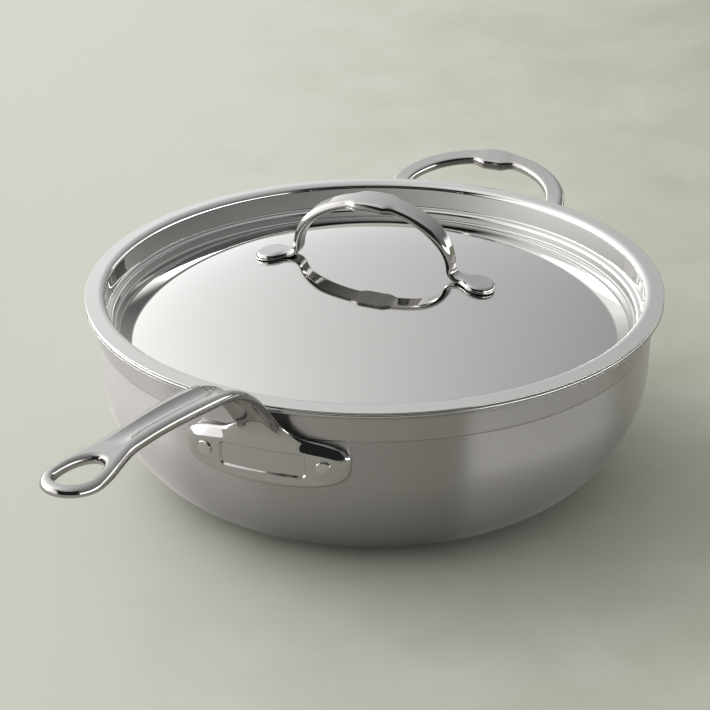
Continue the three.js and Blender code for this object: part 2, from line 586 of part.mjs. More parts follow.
// Lid handle: from pad to pad over an arch, made along X and turned to lie along Y.
function lidHandle() {
  const padCentre = LID_HANDLE_SPAN / 2;
  const slope = domeSlope(padCentre);
  const lift = LID_PAD_GAP + LID_PAD_THICKNESS / 2;
  const padMiddle = v2(-padCentre - lift * Math.sin(slope), domeHeight(padCentre) + lift * Math.cos(slope));
  const inward = v2(Math.cos(slope), Math.sin(slope));
  const padEnd = padMiddle.clone().addScaledVector(inward, -LID_PAD_RADIUS);
  const footX = -LID_HANDLE_ARCH / 2 - LID_FOOT_RADIUS;
  const toFoot = (footX + LID_FOOT_RADIUS * Math.sin(slope) - padMiddle.x) / inward.x;
  const footStart = padMiddle.clone().addScaledVector(inward, toFoot);
  const spring = footStart.y + LID_FOOT_RADIUS * Math.cos(slope);
  const rise = domeTop + LID_HANDLE_HEIGHT - spring;
  const mirror = (p) => v2(-p.x, p.y);
  const path = new THREE.CurvePath();
  const bend = [LID_FOOT_RADIUS, LID_FOOT_RADIUS];
  path.add(new THREE.LineCurve(padEnd, footStart));
  path.add(new THREE.EllipseCurve(footX, spring, ...bend, slope - Math.PI / 2, 0, false));
  path.add(new THREE.EllipseCurve(0, spring, LID_HANDLE_ARCH / 2, rise, Math.PI, 0, true));
  path.add(new THREE.EllipseCurve(-footX, spring, ...bend, Math.PI, 1.5 * Math.PI - slope, false));
  path.add(new THREE.LineCurve(mirror(footStart), mirror(padEnd)));
  const [footAt, legAt, , , length] = path.getCurveLengths();
  const crown = length / 2;
  const padAt = LID_PAD_RADIUS;
  const halfWidth = (s) => {
    const near = Math.min(s, length - s);
    const pad = Math.sqrt(Math.max(0, LID_PAD_RADIUS ** 2 - (near - padAt) ** 2));
    const leg = mix(LID_LEG_HALF, LID_STRAP_HALF, smooth(near, legAt, mix(legAt, crown, 0.5)));
    const fromCrown = crown - near;
    const knuckle = 1 - smooth(fromCrown, LID_KNUCKLE_FLAT, LID_KNUCKLE_FLAT + LID_KNUCKLE_RAMP);
    const strap = leg + (LID_KNUCKLE_HALF - LID_STRAP_HALF) * knuckle;
    return near < padAt ? pad : Math.max(pad, strap);
  };
  const thickness = (s) => {
    const near = Math.min(s, length - s);
    return mix(LID_PAD_THICKNESS, LID_HANDLE_THICKNESS, smooth(near, padAt, mix(legAt, crown, 0.5)));
  };
  const padStop = LID_PAD_RADIUS * 0.02;
  const rampEnd = crown - LID_KNUCKLE_FLAT - LID_KNUCKLE_RAMP;
  const oneSide = [
    ...spread(padStop, padAt, 5, 'start'),
    ...spread(padAt, footAt, 3).slice(1),
    ...spread(footAt, legAt, 4).slice(1),
    ...spread(legAt, rampEnd, 5).slice(1),
    ...spread(rampEnd, crown - LID_KNUCKLE_FLAT, 3).slice(1),
  ];
  const solid = casting({
    path,
    stations: [...oneSide, crown, ...oneSide.map((s) => length - s).reverse()],
    halfWidth,
    thickness,
  });
  return solid.rotateZ(Math.PI / 2);
}

// Materials
const finish = (color, roughness, metalness = 1) => new THREE.MeshStandardMaterial({ color, roughness, metalness });
const brushed = () => finish('#a9a7a4', 0.38);
const satin = () => finish('#bdbcb9', 0.3);
const polished = () => finish('#d0cfcc', 0.08);
const aluminium = () => finish('#b9bbbd', 0.45);

function piece(name, geometry, material) {
  const mesh = new THREE.Mesh(geometry, material);
  mesh.name = name;
  return mesh;
}

// Assembly
const rivetPairs = { long_handle: 0, helper_handle: Math.PI };
const rivetAngles = Object.values(rivetPairs).flatMap((turn) => [turn - rivetAngle, turn + rivetAngle]);
const plyPiece = (geometry) => toGeometry(drilled(toSolid(geometry), rivetAngles));
const handlePiece = (solid) => toGeometry(drilled(solid, [-rivetAngle, rivetAngle]));

const pan = new THREE.Group();
pan.add(piece('pan_outer_shell', plyPiece(ply(0, SKIN_GAUGE)), brushed()));
pan.add(piece('pan_aluminium_core', plyPiece(ply(coreOuter, coreInner, LIP_HEM)), aluminium()));
pan.add(piece('pan_inner_liner', plyPiece(ply(linerOuter, wallGauge, LIP_HEM - BOND_GAP, coreOuter)), satin()));
pan.add(piece('long_handle', handlePiece(longHandle()), polished()));
const helper = piece('helper_handle', handlePiece(helperHandle()), polished());
helper.rotation.z = Math.PI;
pan.add(helper);
Object.entries(rivetPairs).forEach(([handle, turn]) => {
  pan.add(piece(`${handle}_rivet_left`, atRivet(rivet(), turn - rivetAngle), satin()));
  pan.add(piece(`${handle}_rivet_right`, atRivet(rivet(), turn + rivetAngle), satin()));
});

const lid = new THREE.Group();
lid.add(piece('lid_shell', lidShell(), polished()));
lid.add(piece('lid_handle', lidHandle(), polished()));

const sautePan = new THREE.Group();
sautePan.add(pan, lid);

export default sautePan;
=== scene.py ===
# %% [markdown]
# # Saute pan with lid
#
# A deep clad pan on a pale floor: a brushed body, a mirror-polished lid that sits inside the rim, and three
# polished stainless handles. This lesson dresses a measured frame of the pan, which gives every piece its place and
# its size. Each visible surface is worked out as a formula in millimetres, from named lengths.

import bmesh
import bpy
import numpy as np
from mathutils import Matrix


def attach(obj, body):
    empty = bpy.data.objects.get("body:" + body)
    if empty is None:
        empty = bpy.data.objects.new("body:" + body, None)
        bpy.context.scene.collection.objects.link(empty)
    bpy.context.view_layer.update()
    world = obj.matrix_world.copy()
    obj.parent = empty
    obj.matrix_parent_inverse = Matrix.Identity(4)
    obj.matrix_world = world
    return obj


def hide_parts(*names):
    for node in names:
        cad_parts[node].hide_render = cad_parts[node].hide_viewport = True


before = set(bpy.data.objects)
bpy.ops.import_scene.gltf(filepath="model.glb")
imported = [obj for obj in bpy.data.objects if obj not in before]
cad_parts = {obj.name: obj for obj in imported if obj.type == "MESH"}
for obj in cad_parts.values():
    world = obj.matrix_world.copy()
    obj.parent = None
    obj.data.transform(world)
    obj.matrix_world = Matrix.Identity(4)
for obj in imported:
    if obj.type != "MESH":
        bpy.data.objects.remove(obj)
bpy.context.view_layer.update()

# %% [markdown]
# ## From arrays to a mesh
#
# Every piece here is one or more grids of points. A grid could be drawn by hand and refined with modifiers, but a
# polished metal shows each wrinkle, so the points come from formulas and the grid only joins them up. Grids that
# share an edge are welded, and the faces are turned outwards.

# %% Grid to mesh
MM = 0.001
WELD = 1e-6


def surface(name, grids):
    """One mesh from grids of (points, surface coordinates) in mm: each cell of a grid becomes a quad."""
    points, marks, quads, count = [], [], [], 0
    for place, mark in grids:
        rows, columns = place.shape[:2]
        corner = count + np.arange(rows * columns).reshape(rows, columns)
        around = [corner[:-1, :-1], corner[:-1, 1:], corner[1:, 1:], corner[1:, :-1]]
        quads.append(np.stack(around, axis=-1).reshape(-1, 4))
        points.append(place.reshape(-1, 3))
        marks.append(mark.reshape(-1, 2))
        count += rows * columns
    points, marks = np.concatenate(points) * MM, np.concatenate(marks) * MM
    quads = np.concatenate(quads)
    mesh = bpy.data.meshes.new(name)
    mesh.vertices.add(len(points))
    mesh.vertices.foreach_set("co", points.ravel())
    mesh.loops.add(quads.size)
    mesh.loops.foreach_set("vertex_index", quads.ravel())
    mesh.polygons.add(len(quads))
    mesh.polygons.foreach_set("loop_start", np.arange(0, quads.size, 4))
    mesh.polygons.foreach_set("loop_total", np.full(len(quads), 4))
    mesh.uv_layers.new(name="surface").data.foreach_set("uv", marks[quads.ravel()].ravel())
    mesh.update(calc_edges=True)
    weld = bmesh.new()
    weld.from_mesh(mesh)
    bmesh.ops.remove_doubles(weld, verts=weld.verts, dist=WELD)
    bmesh.ops.recalc_face_normals(weld, faces=weld.faces)
    weld.to_mesh(mesh)
    weld.free()
    mesh.polygons.foreach_set("use_smooth", np.ones(len(mesh.polygons), dtype=bool))
    piece = bpy.data.objects.new(name, mesh)
    bpy.context.collection.objects.link(piece)
    return piece


def dress(piece, body, node, material):
    """Gives a piece its finish, lets it stand for its node and makes it move with its body."""
    piece.data.materials.append(material)
    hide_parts(node)
    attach(piece, body)
    print(f"{piece.name}: {len(piece.data.polygons)} faces, rides on {body}")


# %% [markdown]
# ## Finishes
#
# Stainless steel looks different only through its surface: brushed round the body, satin on the cooking surface,
# mirror-polished on the lid and the handles. Each finish is a metallic shader with its own roughness, and the
# grain that shows is drawn from its real spacing. A picture of brushed steel could be used instead, but it would
# stretch on the curved foot, while these lines follow the surface coordinates of each piece.

# %% Shader helpers


def linear(hexcode):
    """Linear colour of an sRGB hex value."""
    value = np.array([int(hexcode[i:i + 2], 16) for i in (1, 3, 5)]) / 255
    return (*np.where(value <= 0.04045, value / 12.92, ((value + 0.055) / 1.055) ** 2.4), 1.0)


def add(tree, kind, links=None, values=None, **settings):
    """Adds one node with its settings, its input values and its links from other nodes' outputs."""
    node = tree.nodes.new(kind)
    for key, value in settings.items():
        setattr(node, key, value)
    for key, value in (values or {}).items():
        node.inputs[key].default_value = value
    for key, output in (links or {}).items():
        tree.links.new(output, node.inputs[key])
    return node


def metal(name, hexcode, roughness, anisotropic=0.0):
    """A bare metal: colour, roughness and the share by which its grain stretches a highlight."""
    material = bpy.data.materials.new(name)
    material.use_nodes = True
    shader = material.node_tree.nodes["Principled BSDF"]
    shader.inputs["Base Color"].default_value = linear(hexcode)
    shader.inputs["Metallic"].default_value = 1.0
    shader.inputs["Roughness"].default_value = roughness
    shader.inputs["Anisotropic"].default_value = anisotropic
    return material, material.node_tree, shader


# %% [markdown]
# ### Brushed body
#
# The body is turned against an abrasive belt, which leaves fine lines round it. A highlight spreads across such
# lines, up and down the wall, so the shader is anisotropic and takes its tangent from the surface coordinates. The
# real lines lie about 0.1 mm apart, too fine to show, so they are drawn 0.6 mm apart, as faint changes of colour
# and roughness.

# %% Brushed stainless steel
GRAIN_GAP = 0.6
GRAIN_LENGTH = 90.0
ACROSS_THE_GRAIN = 0.25

brushed, steel, wall_finish = metal("stainless_steel_belt_brushed", "#aeabab", 0.3, 1.0)
wall_finish.inputs["Anisotropic Rotation"].default_value = ACROSS_THE_GRAIN
tangent = add(steel, "ShaderNodeTangent", direction_type="UV_MAP", uv_map="surface")
steel.links.new(tangent.outputs["Tangent"], wall_finish.inputs["Tangent"])
uv = add(steel, "ShaderNodeUVMap", uv_map="surface")
lines = add(steel, "ShaderNodeMapping", {"Vector": uv.outputs["UV"]},
            {"Scale": (1 / (GRAIN_LENGTH * MM), 1 / (GRAIN_GAP * MM), 1.0)})
grain = add(steel, "ShaderNodeTexNoise", {"Vector": lines.outputs["Vector"]},
            {"Scale": 1.0, "Detail": 3.0, "Roughness": 0.6})
streak = add(steel, "ShaderNodeValToRGB", {"Fac": grain.outputs["Fac"]})
for stop, (position, hexcode) in zip(streak.color_ramp.elements, ((0.3, "#aba8a8"), (0.7, "#b1aeae"))):
    stop.position, stop.color = position, linear(hexcode)
steel.links.new(streak.outputs["Color"], wall_finish.inputs["Base Color"])
print("made", brushed.name)

# %% [markdown]
# The strip under the lip is brushed again with a finer belt, which leaves a clean edge and a slightly sharper
# reflection. It could be a piece of its own, but it is the same sheet, so a height in the material parts the two
# finishes, and a small bump gives their edge its thin line.

# %% Finer strip under the lip
FINE_ABOVE = 81.3
FINE_EDGE = 0.3
FINE_STEP = 0.25
FINE_ROUGHNESS = 0.24
GRAIN_ROUGHNESS = (0.27, 0.29)

spot = add(steel, "ShaderNodeTexCoord")
height_on_wall = add(steel, "ShaderNodeSeparateXYZ", {"Vector": spot.outputs["Object"]})
fine = add(steel, "ShaderNodeMapRange", {"Value": height_on_wall.outputs["Z"]},
           {"From Min": (FINE_ABOVE - FINE_EDGE) * MM, "From Max": (FINE_ABOVE + FINE_EDGE) * MM})
coarse = add(steel, "ShaderNodeMapRange", {"Value": grain.outputs["Fac"]},
             {"To Min": GRAIN_ROUGHNESS[0], "To Max": GRAIN_ROUGHNESS[1]})
sheen = add(steel, "ShaderNodeMix", {"Factor": fine.outputs["Result"], "A": coarse.outputs["Result"]},
            {"B": FINE_ROUGHNESS}, data_type="FLOAT")
steel.links.new(sheen.outputs["Result"], wall_finish.inputs["Roughness"])
ledge = add(steel, "ShaderNodeBump", {"Height": fine.outputs["Result"]},
            {"Strength": 1.0, "Distance": FINE_STEP * MM})
steel.links.new(ledge.outputs["Normal"], wall_finish.inputs["Normal"])
print("finer above", FINE_ABOVE, "mm")

# %% [markdown]
# ### Polished and plain finishes
#
# The lid is buffed to a mirror, and so are the castings, which keep a very slight waviness from the wheel. The
# cooking surface has a finer satin, the rivets are left as they were headed, and the aluminium core only shows
# its rolled face. All of them are metals, so their colour is that of their reflection. One noise at the size of the
# real unevenness tilts and dulls each of them a little: a perfect mirror would look drawn.

# %% Polished, satin and rolled metals
RELIEF = 0.2
SMEAR = (0.7, 1.4)


def wavy(name, hexcode, roughness, strength, size):
    """A worked metal: one noise of the given size in mm sets both a faint relief and the roughness."""
    material, nodes, finish = metal(name, hexcode, roughness)
    where = add(nodes, "ShaderNodeTexCoord")
    swell = add(nodes, "ShaderNodeTexNoise", {"Vector": where.outputs["Object"]},
                {"Scale": 1 / (size * MM), "Detail": 1.0})
    relief = add(nodes, "ShaderNodeBump", {"Height": swell.outputs["Fac"]},
                 {"Strength": strength, "Distance": RELIEF * MM})
    nodes.links.new(relief.outputs["Normal"], finish.inputs["Normal"])
    smear = add(nodes, "ShaderNodeMapRange", {"Value": swell.outputs["Fac"]},
                {"To Min": roughness * SMEAR[0], "To Max": roughness * SMEAR[1]})
    nodes.links.new(smear.outputs["Result"], finish.inputs["Roughness"])
    return material


# The buffed sheet mirrors the room with hardly a ripple. The castings are a little darker and softer.
polished_sheet = wavy("stainless_steel_sheet_mirror_buffed", "#c2c1bf", 0.014, 0.012, 56.0)
polished_cast = wavy("stainless_steel_casting_mirror_buffed", "#acaaa8", 0.055, 0.03, 14.0)
# A struck rivet has fine dents, the satin liner a soft grey sheen, and rolled aluminium is nearly matt.
rivet_steel = wavy("stainless_steel_rivet_cold_headed", "#b6b4b2", 0.1, 0.06, 1.2)
satin = wavy("stainless_steel_liner_satin", "#bebdba", 0.2, 0.004, 3.0)
aluminium = wavy("aluminium_core_rolled", "#bfc1c3", 0.4, 0.1, 2.0)
print("made", [made.name for made in (polished_sheet, polished_cast, rivet_steel, satin, aluminium)])

# %% [markdown]
# ## Turned sheets
#
# The pan and the lid are pressed from round sheets, so each is a profile turned about the upright axis. Blender's
# Screw or Spin could do it, but one line of numpy gives the same grid with its surface coordinates: distance round
# the axis, and distance along the profile.

# %% Turning a profile
BODY_SIDES = 288
CORE_SIDES = 144


def turned(profile, sides):
    """Surface of revolution: a profile point (radius, height) goes round, x = r cos a and y = r sin a."""
    angle = np.linspace(0, 2 * np.pi, sides + 1)
    radius, height = profile.T
    place = np.stack([radius[:, None] * np.cos(angle), radius[:, None] * np.sin(angle),
                      np.broadcast_to(height[:, None], (len(radius), len(angle)))], axis=-1)
    run = np.concatenate([[0], np.cumsum(np.hypot(*np.diff(profile, axis=0).T))])
    mark = np.stack(np.broadcast_arrays(radius.max() * angle, run[:, None]), axis=-1)
    return place, mark


# %% [markdown]
# ### The clad pan
#
# Three plies are rolled together and pressed in one stroke: a brushed outer shell, an aluminium core and the
# cooking liner, whose edge is turned down over the core at the lip. A Solidify modifier could thicken one sheet,
# but the plies end at different places in the lip. So all three follow one outline, at growing depths from the
# outside: flat base, curved foot, leaning wall and flared lip.

# %% Pan sizes
BASE_RADIUS = 97.8
BODY_RADIUS = 145.7
FOOT_HEIGHT = 61.4
FOOT_POWER = 1.12
PAN_HEIGHT = 98.7
DRAFT = np.radians(2.4)
LIP_REACH = 5.6
LIP_RADIUS = 3.5
LIP_TILT = np.radians(12.0)
SKIN = 0.45
CORE = 1.3
BOND = 0.05
HEM = 1.4
GAUGE = 2 * SKIN + CORE + 2 * BOND


def wall_radius(height):
    """Outside radius of the straight wall at a height: it leans out by the draft."""
    return BODY_RADIUS + (height - FOOT_HEIGHT) * np.tan(DRAFT)


lip_rise = LIP_RADIUS * (np.cos(LIP_TILT) - np.sin(DRAFT))
lip_flat = LIP_REACH - LIP_RADIUS * (np.cos(DRAFT) - np.sin(LIP_TILT))
wall_top = PAN_HEIGHT - GAUGE * np.cos(LIP_TILT) - lip_rise - lip_flat * np.tan(LIP_TILT)
rim_radius = wall_radius(wall_top) + LIP_REACH
print(f"wall up to {wall_top:.1f} mm, rim radius {rim_radius:.1f} mm")

# %% Pan outline
BASE_POINTS, FOOT_POINTS, WALL_POINTS, LIP_POINTS = 12, 64, 10, 14


def pan_outline():
    """Outside of the pan with the inward direction at each point: base, foot, wall, lip arc and lip.

    The foot is a quarter ellipse whose sine and cosine are raised to FOOT_POWER, a little less full than the
    plain one at 1. It ends where its slope has become that of the wall.
    """
    foot_reach = BODY_RADIUS - BASE_RADIUS
    base = np.linspace(0, BASE_RADIUS, BASE_POINTS)[:-1]
    at = [np.stack([base, base * 0], axis=1)]
    inward = [np.stack([base * 0, base * 0 + 1], axis=1)]
    end = np.pi / 2 - np.arctan((np.tan(DRAFT) * FOOT_HEIGHT / foot_reach) ** (1 / (2 - FOOT_POWER)))
    turn = end * (1 - np.cos(np.linspace(0, np.pi, FOOT_POINTS))) / 2
    sine, cosine = np.sin(turn), np.cos(turn)
    at.append(np.stack([BASE_RADIUS + foot_reach * sine ** FOOT_POWER,
                        FOOT_HEIGHT * (1 - cosine ** FOOT_POWER)], axis=1))
    slope = np.stack([-FOOT_HEIGHT * sine ** (2 - FOOT_POWER),
                      foot_reach * cosine ** (2 - FOOT_POWER)], axis=1)
    inward.append(slope / np.hypot(*slope.T)[:, None])
    height = np.linspace(at[-1][-1, 1], wall_top, WALL_POINTS)[1:-1]
    at.append(np.stack([wall_radius(height), height], axis=1))
    inward.append(np.tile([-np.cos(DRAFT), np.sin(DRAFT)], (len(height), 1)))
    flare = np.linspace(DRAFT, np.pi / 2 - LIP_TILT, LIP_POINTS)
    inward.append(np.stack([-np.cos(flare), np.sin(flare)], axis=1))
    centre = [wall_radius(wall_top) + LIP_RADIUS * np.cos(DRAFT), wall_top - LIP_RADIUS * np.sin(DRAFT)]
    at.append(centre + LIP_RADIUS * inward[-1])
    at.append(np.array([[rim_radius, wall_top + lip_rise + lip_flat * np.tan(LIP_TILT)]]))
    inward.append(inward[-1][-1:])
    return np.concatenate(at), np.concatenate(inward)


# %% Pan plies
def ply(outer, inner, short=0.0, hem=None):
    """Profile of one ply between two depths, stopping short of the lip's edge, or hemmed over a ply that does."""
    at, inward = pan_outline()
    along = np.array([np.cos(LIP_TILT), np.sin(LIP_TILT)])
    outside, inside = at + outer * inward, (at + inner * inward)[::-1]
    outside[-1] -= short * along
    fold = np.empty((0, 2))
    if hem is None:
        inside[0] -= short * along
    else:
        fold = np.stack([outside[-1] + (hem - outer) * inward[-1], at[-1] + hem * inward[-1]])
    return np.concatenate([outside, fold, inside])


shell = surface("outer_shell", [turned(ply(0, SKIN), BODY_SIDES)])
core = surface("aluminium_core", [turned(ply(SKIN + BOND, SKIN + BOND + CORE, HEM), CORE_SIDES)])
liner = surface("cooking_liner", [turned(ply(GAUGE - SKIN, GAUGE, HEM - BOND, SKIN + BOND), BODY_SIDES)])
dress(shell, "pan", "pan_outer_shell", brushed)
dress(core, "pan", "pan_aluminium_core", aluminium)
dress(liner, "pan", "pan_inner_liner", satin)

# %% [markdown]
# ### The lid
#
# One pressed sheet: a flange that rests on the lip, a wall that drops inside the pan, a narrow step, a gutter and a
# shallow dome. A Bevel modifier could round the corners of a plain profile, but the bends carry the crisp dark and
# white lines of a polished lid, so they are true arcs. The underside is the same outline moved in by the sheet's
# thickness.

# %% Lid sizes
LID_GAUGE = 0.8
LID_SEAT_GAP = 0.3
LID_CLEARANCE = 2.25
LID_INSET = 12.6
LID_FLANGE_BEND = 3.4
LID_FLANGE_FALL = 1.6
LID_SHELF_WIDTH = 3.1
LID_SHELF_FALL = 0.6
LID_STEP_DEPTH = 5.0
LID_STEP_LEAN = 0.8
LID_FOOT_BEND = 0.9
LID_SHELF_BEND = 2.2
LID_GUTTER_BEND = 0.8
LID_GUTTER_WIDTH = 3.0
LID_RISE = 32.0

flange_top = PAN_HEIGHT + LID_SEAT_GAP + LID_GAUGE
inset_foot = flange_top - LID_INSET
inset_radius = wall_radius(inset_foot - LID_SHELF_FALL - LID_GAUGE) - GAUGE - LID_CLEARANCE - LID_GAUGE
shelf_radius = inset_radius - LID_SHELF_WIDTH
gutter_radius = shelf_radius - LID_STEP_LEAN
gutter_height = inset_foot - LID_SHELF_FALL - LID_STEP_DEPTH
dome_radius = (gutter_radius ** 2 + LID_RISE ** 2) / (2 * LID_RISE)
dome_top = gutter_height + LID_RISE


def dome_height(radius):
    """Height of the spherical dome at a distance from the axis."""
    return dome_top - dome_radius + np.sqrt(dome_radius ** 2 - radius ** 2)


print(f"dome radius {dome_radius:.1f} mm, crown at {dome_top:.1f} mm")

# %% Bends of a pressed sheet


def rounded(corners, steps):
    """Outline through (radius, height, bend) corners: a bend's arc starts bend * tan(turn / 2) before its corner."""
    corners = np.asarray(corners, dtype=float)
    outline = [corners[:1, :2]]
    for before, (*at, bend), after in zip(corners[:-2], corners[1:-1], corners[2:]):
        into = (at - before[:2]) / np.hypot(*(at - before[:2]))
        out = (after[:2] - at) / np.hypot(*(after[:2] - at))
        turn = np.arctan2(into[0] * out[1] - into[1] * out[0], into @ out)
        swing = np.linspace(0, turn, steps + 1)
        side = np.sign(turn) * bend
        left = np.array([-into[1], into[0]])
        centre = at - into * bend * np.tan(abs(turn) / 2) + left * side
        cosine, sine = np.cos(swing), np.sin(swing)
        spoke = np.stack([-left[0] * cosine + left[1] * sine, -left[0] * sine - left[1] * cosine], axis=1)
        outline.append(centre + spoke * side)
    outline.append(corners[-1:, :2])
    return np.concatenate(outline)


def guarded(outline, gap, longest):
    """The outline with points added a gap from both ends of each run over the longest, to keep its shading flat."""
    run = np.concatenate([[0], np.cumsum(np.hypot(*np.diff(outline, axis=0).T))])
    straight = np.diff(run) > longest
    at = np.concatenate([run, (run[:-1] + gap)[straight], (run[1:] - gap)[straight]])
    at = np.unique(at.round(5))
    return np.stack([np.interp(at, run, outline[:, k]) for k in (0, 1)], axis=1)


# %% Lid shell
LID_SIDES = 320
BEND_STEPS = 10
DOME_POINTS = 80
GUARD_GAP, GUARD_RUN = 0.3, 2.0

dome_edge = gutter_radius - LID_GUTTER_WIDTH
bends = rounded([
    (rim_radius, flange_top, 0),
    (inset_radius + (LID_INSET + LID_FLANGE_FALL) * np.tan(DRAFT), flange_top + LID_FLANGE_FALL, LID_FLANGE_BEND),
    (inset_radius, inset_foot, LID_FOOT_BEND),
    (shelf_radius, inset_foot - LID_SHELF_FALL, LID_SHELF_BEND),
    (gutter_radius, gutter_height, LID_GUTTER_BEND),
    (dome_edge, dome_height(dome_edge), 0),
], BEND_STEPS)
tilt = np.arcsin(dome_edge / dome_radius) * np.linspace(1, 0, DOME_POINTS)[1:]
dome = np.stack([dome_radius * np.sin(tilt), dome_top - dome_radius * (1 - np.cos(tilt))], axis=1)
lid_top = np.concatenate([guarded(bends, GUARD_GAP, GUARD_RUN), dome])
along_lid = np.gradient(lid_top, axis=0)
under = np.stack([-along_lid[:, 1], along_lid[:, 0]], axis=1) / np.hypot(*along_lid.T)[:, None]
under[-1] = (0, -1)
lid_under = lid_top + LID_GAUGE * under
lid_under[-1, 0] = 0
lid = surface("lid_sheet", [turned(np.concatenate([lid_under[::-1], lid_top]), LID_SIDES)])
dress(lid, "lid", "lid_shell", polished_sheet)

# %% [markdown]
# ## Castings
#
# Each handle is a thick strap that bends along a path, with rounded edges, dished faces and, twice, a hole. It could
# be sculpted, or boxes could be joined with booleans and bevelled, but mirror polish would show each facet. Here a
# flat plan is drawn first. A signed distance says how far inside the outline each point lies, and the faces fall to
# the edge on a quarter ellipse of that distance.

# %% Plan of a casting
HALVINGS = 48
SLOPE_STEP = 0.1


def ease(value, low, high):
    """Smooth step: 0 below low, 1 above high, 3t^2 - 2t^3 between."""
    t = np.clip((value - low) / (high - low), 0, 1)
    return t * t * (3 - 2 * t)


def join(a, b, reach):
    """Union of two distances with a filled inner corner: the larger one plus (reach - |a - b|)^2 / 4 reach."""
    return np.maximum(a, b) + np.clip(reach - np.abs(a - b), 0, None) ** 2 / (4 * reach)


def oval(s, u, length, half, power):
    """Distance inside a superellipse of two half axes: (1 - f) / |grad f| for f = (|s|^p + |u|^p)^(1/p)."""
    a, b = np.abs(s) / length, np.abs(u) / half
    f = np.maximum((a ** power + b ** power) ** (1 / power), 1e-6)
    steep = np.hypot((a / f) ** (power - 1) / length, (b / f) ** (power - 1) / half)
    return (1 - f) / np.maximum(steep, 1e-9)


def beside(width, s, u):
    """Distance inside a strap of half width(s): what is left to its side, square to the side's own slope."""
    lean = (width(s + SLOPE_STEP) - width(s - SLOPE_STEP)) / (2 * SLOPE_STEP)
    return (width(s) - np.abs(u)) / np.sqrt(1 + lean ** 2)


def outline_half(distance, s, widest=60.0):
    """Half width of an outline at each s, found by halving the span in which the distance changes sign."""
    low, high = np.zeros_like(s), np.full_like(s, widest)
    for _ in range(HALVINGS):
        middle = (low + high) / 2
        inside = distance(s, middle) > 0
        low, high = np.where(inside, middle, low), np.where(inside, high, middle)
    return low


def edge(distance, radius):
    """Share of the thickness at a distance from an edge: a quarter ellipse, sqrt(1 - (1 - d / r)^2)."""
    t = np.clip(distance / radius, 0, 1)
    return np.sqrt(np.clip(1 - (1 - t) ** 2, 0, 1))


# %% [markdown]
# The finished plan is then carried along the path: each point keeps its width and its height over the plan, and a
# riveting plate is also wrapped round the pan. A Curve modifier bends a mesh in the same way, but here the plate
# can be wrapped and the neck be left straight across in one formula.

# %% Path of a casting
PATH_STEP = 0.05


def route(points, soften):
    """A path resampled by length, as s, x, z and heading. A moving average of the heading eases its bends."""
    points = np.asarray(points)
    run = np.concatenate([[0], np.cumsum(np.hypot(*np.diff(points, axis=0).T))])
    s = np.arange(0, run[-1] + PATH_STEP / 2, PATH_STEP)
    x, z = np.interp(s, run, points[:, 0]), np.interp(s, run, points[:, 1])
    heading = np.unwrap(np.arctan2(np.gradient(z), np.gradient(x)))
    count = int(soften / PATH_STEP) // 2 * 2 + 1
    padded = np.pad(heading, count // 2, mode="edge")
    heading = np.convolve(padded, np.ones(count) / count, mode="valid")
    x = x[0] + np.concatenate([[0], np.cumsum(np.cos(heading[:-1]))]) * PATH_STEP
    z = z[0] + np.concatenate([[0], np.cumsum(np.sin(heading[:-1]))]) * PATH_STEP
    return {"s": s, "x": x, "z": z, "heading": heading, "length": s[-1]}


def arc(start, heading, end, radius, count=400):
    """Points of an arc that leaves start at one heading and turns to another."""
    turn = np.linspace(heading, end, count)
    way = np.sign(end - heading) * radius
    return np.stack([start[0] + way * (np.sin(turn) - np.sin(heading)),
                     start[1] - way * (np.cos(turn) - np.cos(heading))], axis=1)


def carried(path, s, u, v, wrap):
    """Places s along the path, u across and v above it: the path's point plus v times its normal.

    In the share wrap, u is turned round the pan's axis as an angle u / radius. The rest stays straight across.
    """
    x, z, heading = (np.interp(s, path["s"], path[k]) for k in ("x", "z", "heading"))
    out, up = x - v * np.sin(heading), z + v * np.cos(heading)
    angle = u / x
    return np.stack([out * (1 - wrap) + wrap * out * np.cos(angle),
                     u * (1 - wrap) + wrap * out * np.sin(angle), up], axis=-1)


def sheet(path, s, u, top, bottom, wrap):
    """Both faces of a casting as grids that share their edges."""
    mark = np.stack(np.broadcast_arrays(u, s), axis=-1)
    return [(carried(path, s, u, face, wrap), mark) for face in (top, bottom)]


def mirrored(grids):
    """The grids and their copies across the middle plane y = 0."""
    flip = np.array([1, -1, 1])
    return grids + [(place * flip, mark * np.array([-1, 1])) for place, mark in grids]


def places(*spans):
    """Stations from spans of (start, end, count, crowd): packed at the start (-1), the end (1), or evenly (0)."""
    rows = []
    for start, end, count, crowd in spans:
        t = np.linspace(0, 1, count + 1)
        packed = {0: t, -1: 1 - np.cos(t * np.pi / 2), 1: np.sin(t * np.pi / 2)}[crowd]
        rows.append(start + (end - start) * packed)
    return np.unique(np.concatenate(rows).round(6))


# %% [markdown]
# ### Long handle
#
# The most skilful piece of the pan: a riveting plate that wraps the wall, a neck that climbs past the lip, a grip
# with a scoop along its top, and a hanging loop. It could be a bevelled curve, but its width and its faces change
# all the way. So its side view is drawn first, as a path of arcs: up the wall, out over the lip, and along the grip
# in a slight bow.

# %% Long handle path
PLATE_DROP = 30.2
PLATE_HEIGHT = 27.4
PLATE_THICKNESS = 5.4
PLATE_ROUNDNESS = 2.75
PLATE_GAP = 0.3
HANDLE_LENGTH = 216.5
HANDLE_THICKNESS = 5.2
HANDLE_PLATE_HALF = 44.9
HANDLE_SOFTEN = 9.0
NECK_BEND = 22.0
NECK_ANGLE = np.radians(47.0)
NECK_CLEARANCE = 4.8
NECK_LENGTH = 19.6
GRIP_BEND = 93.0
GRIP_ANGLE = np.radians(14.0)
GRIP_BOW = 770.0

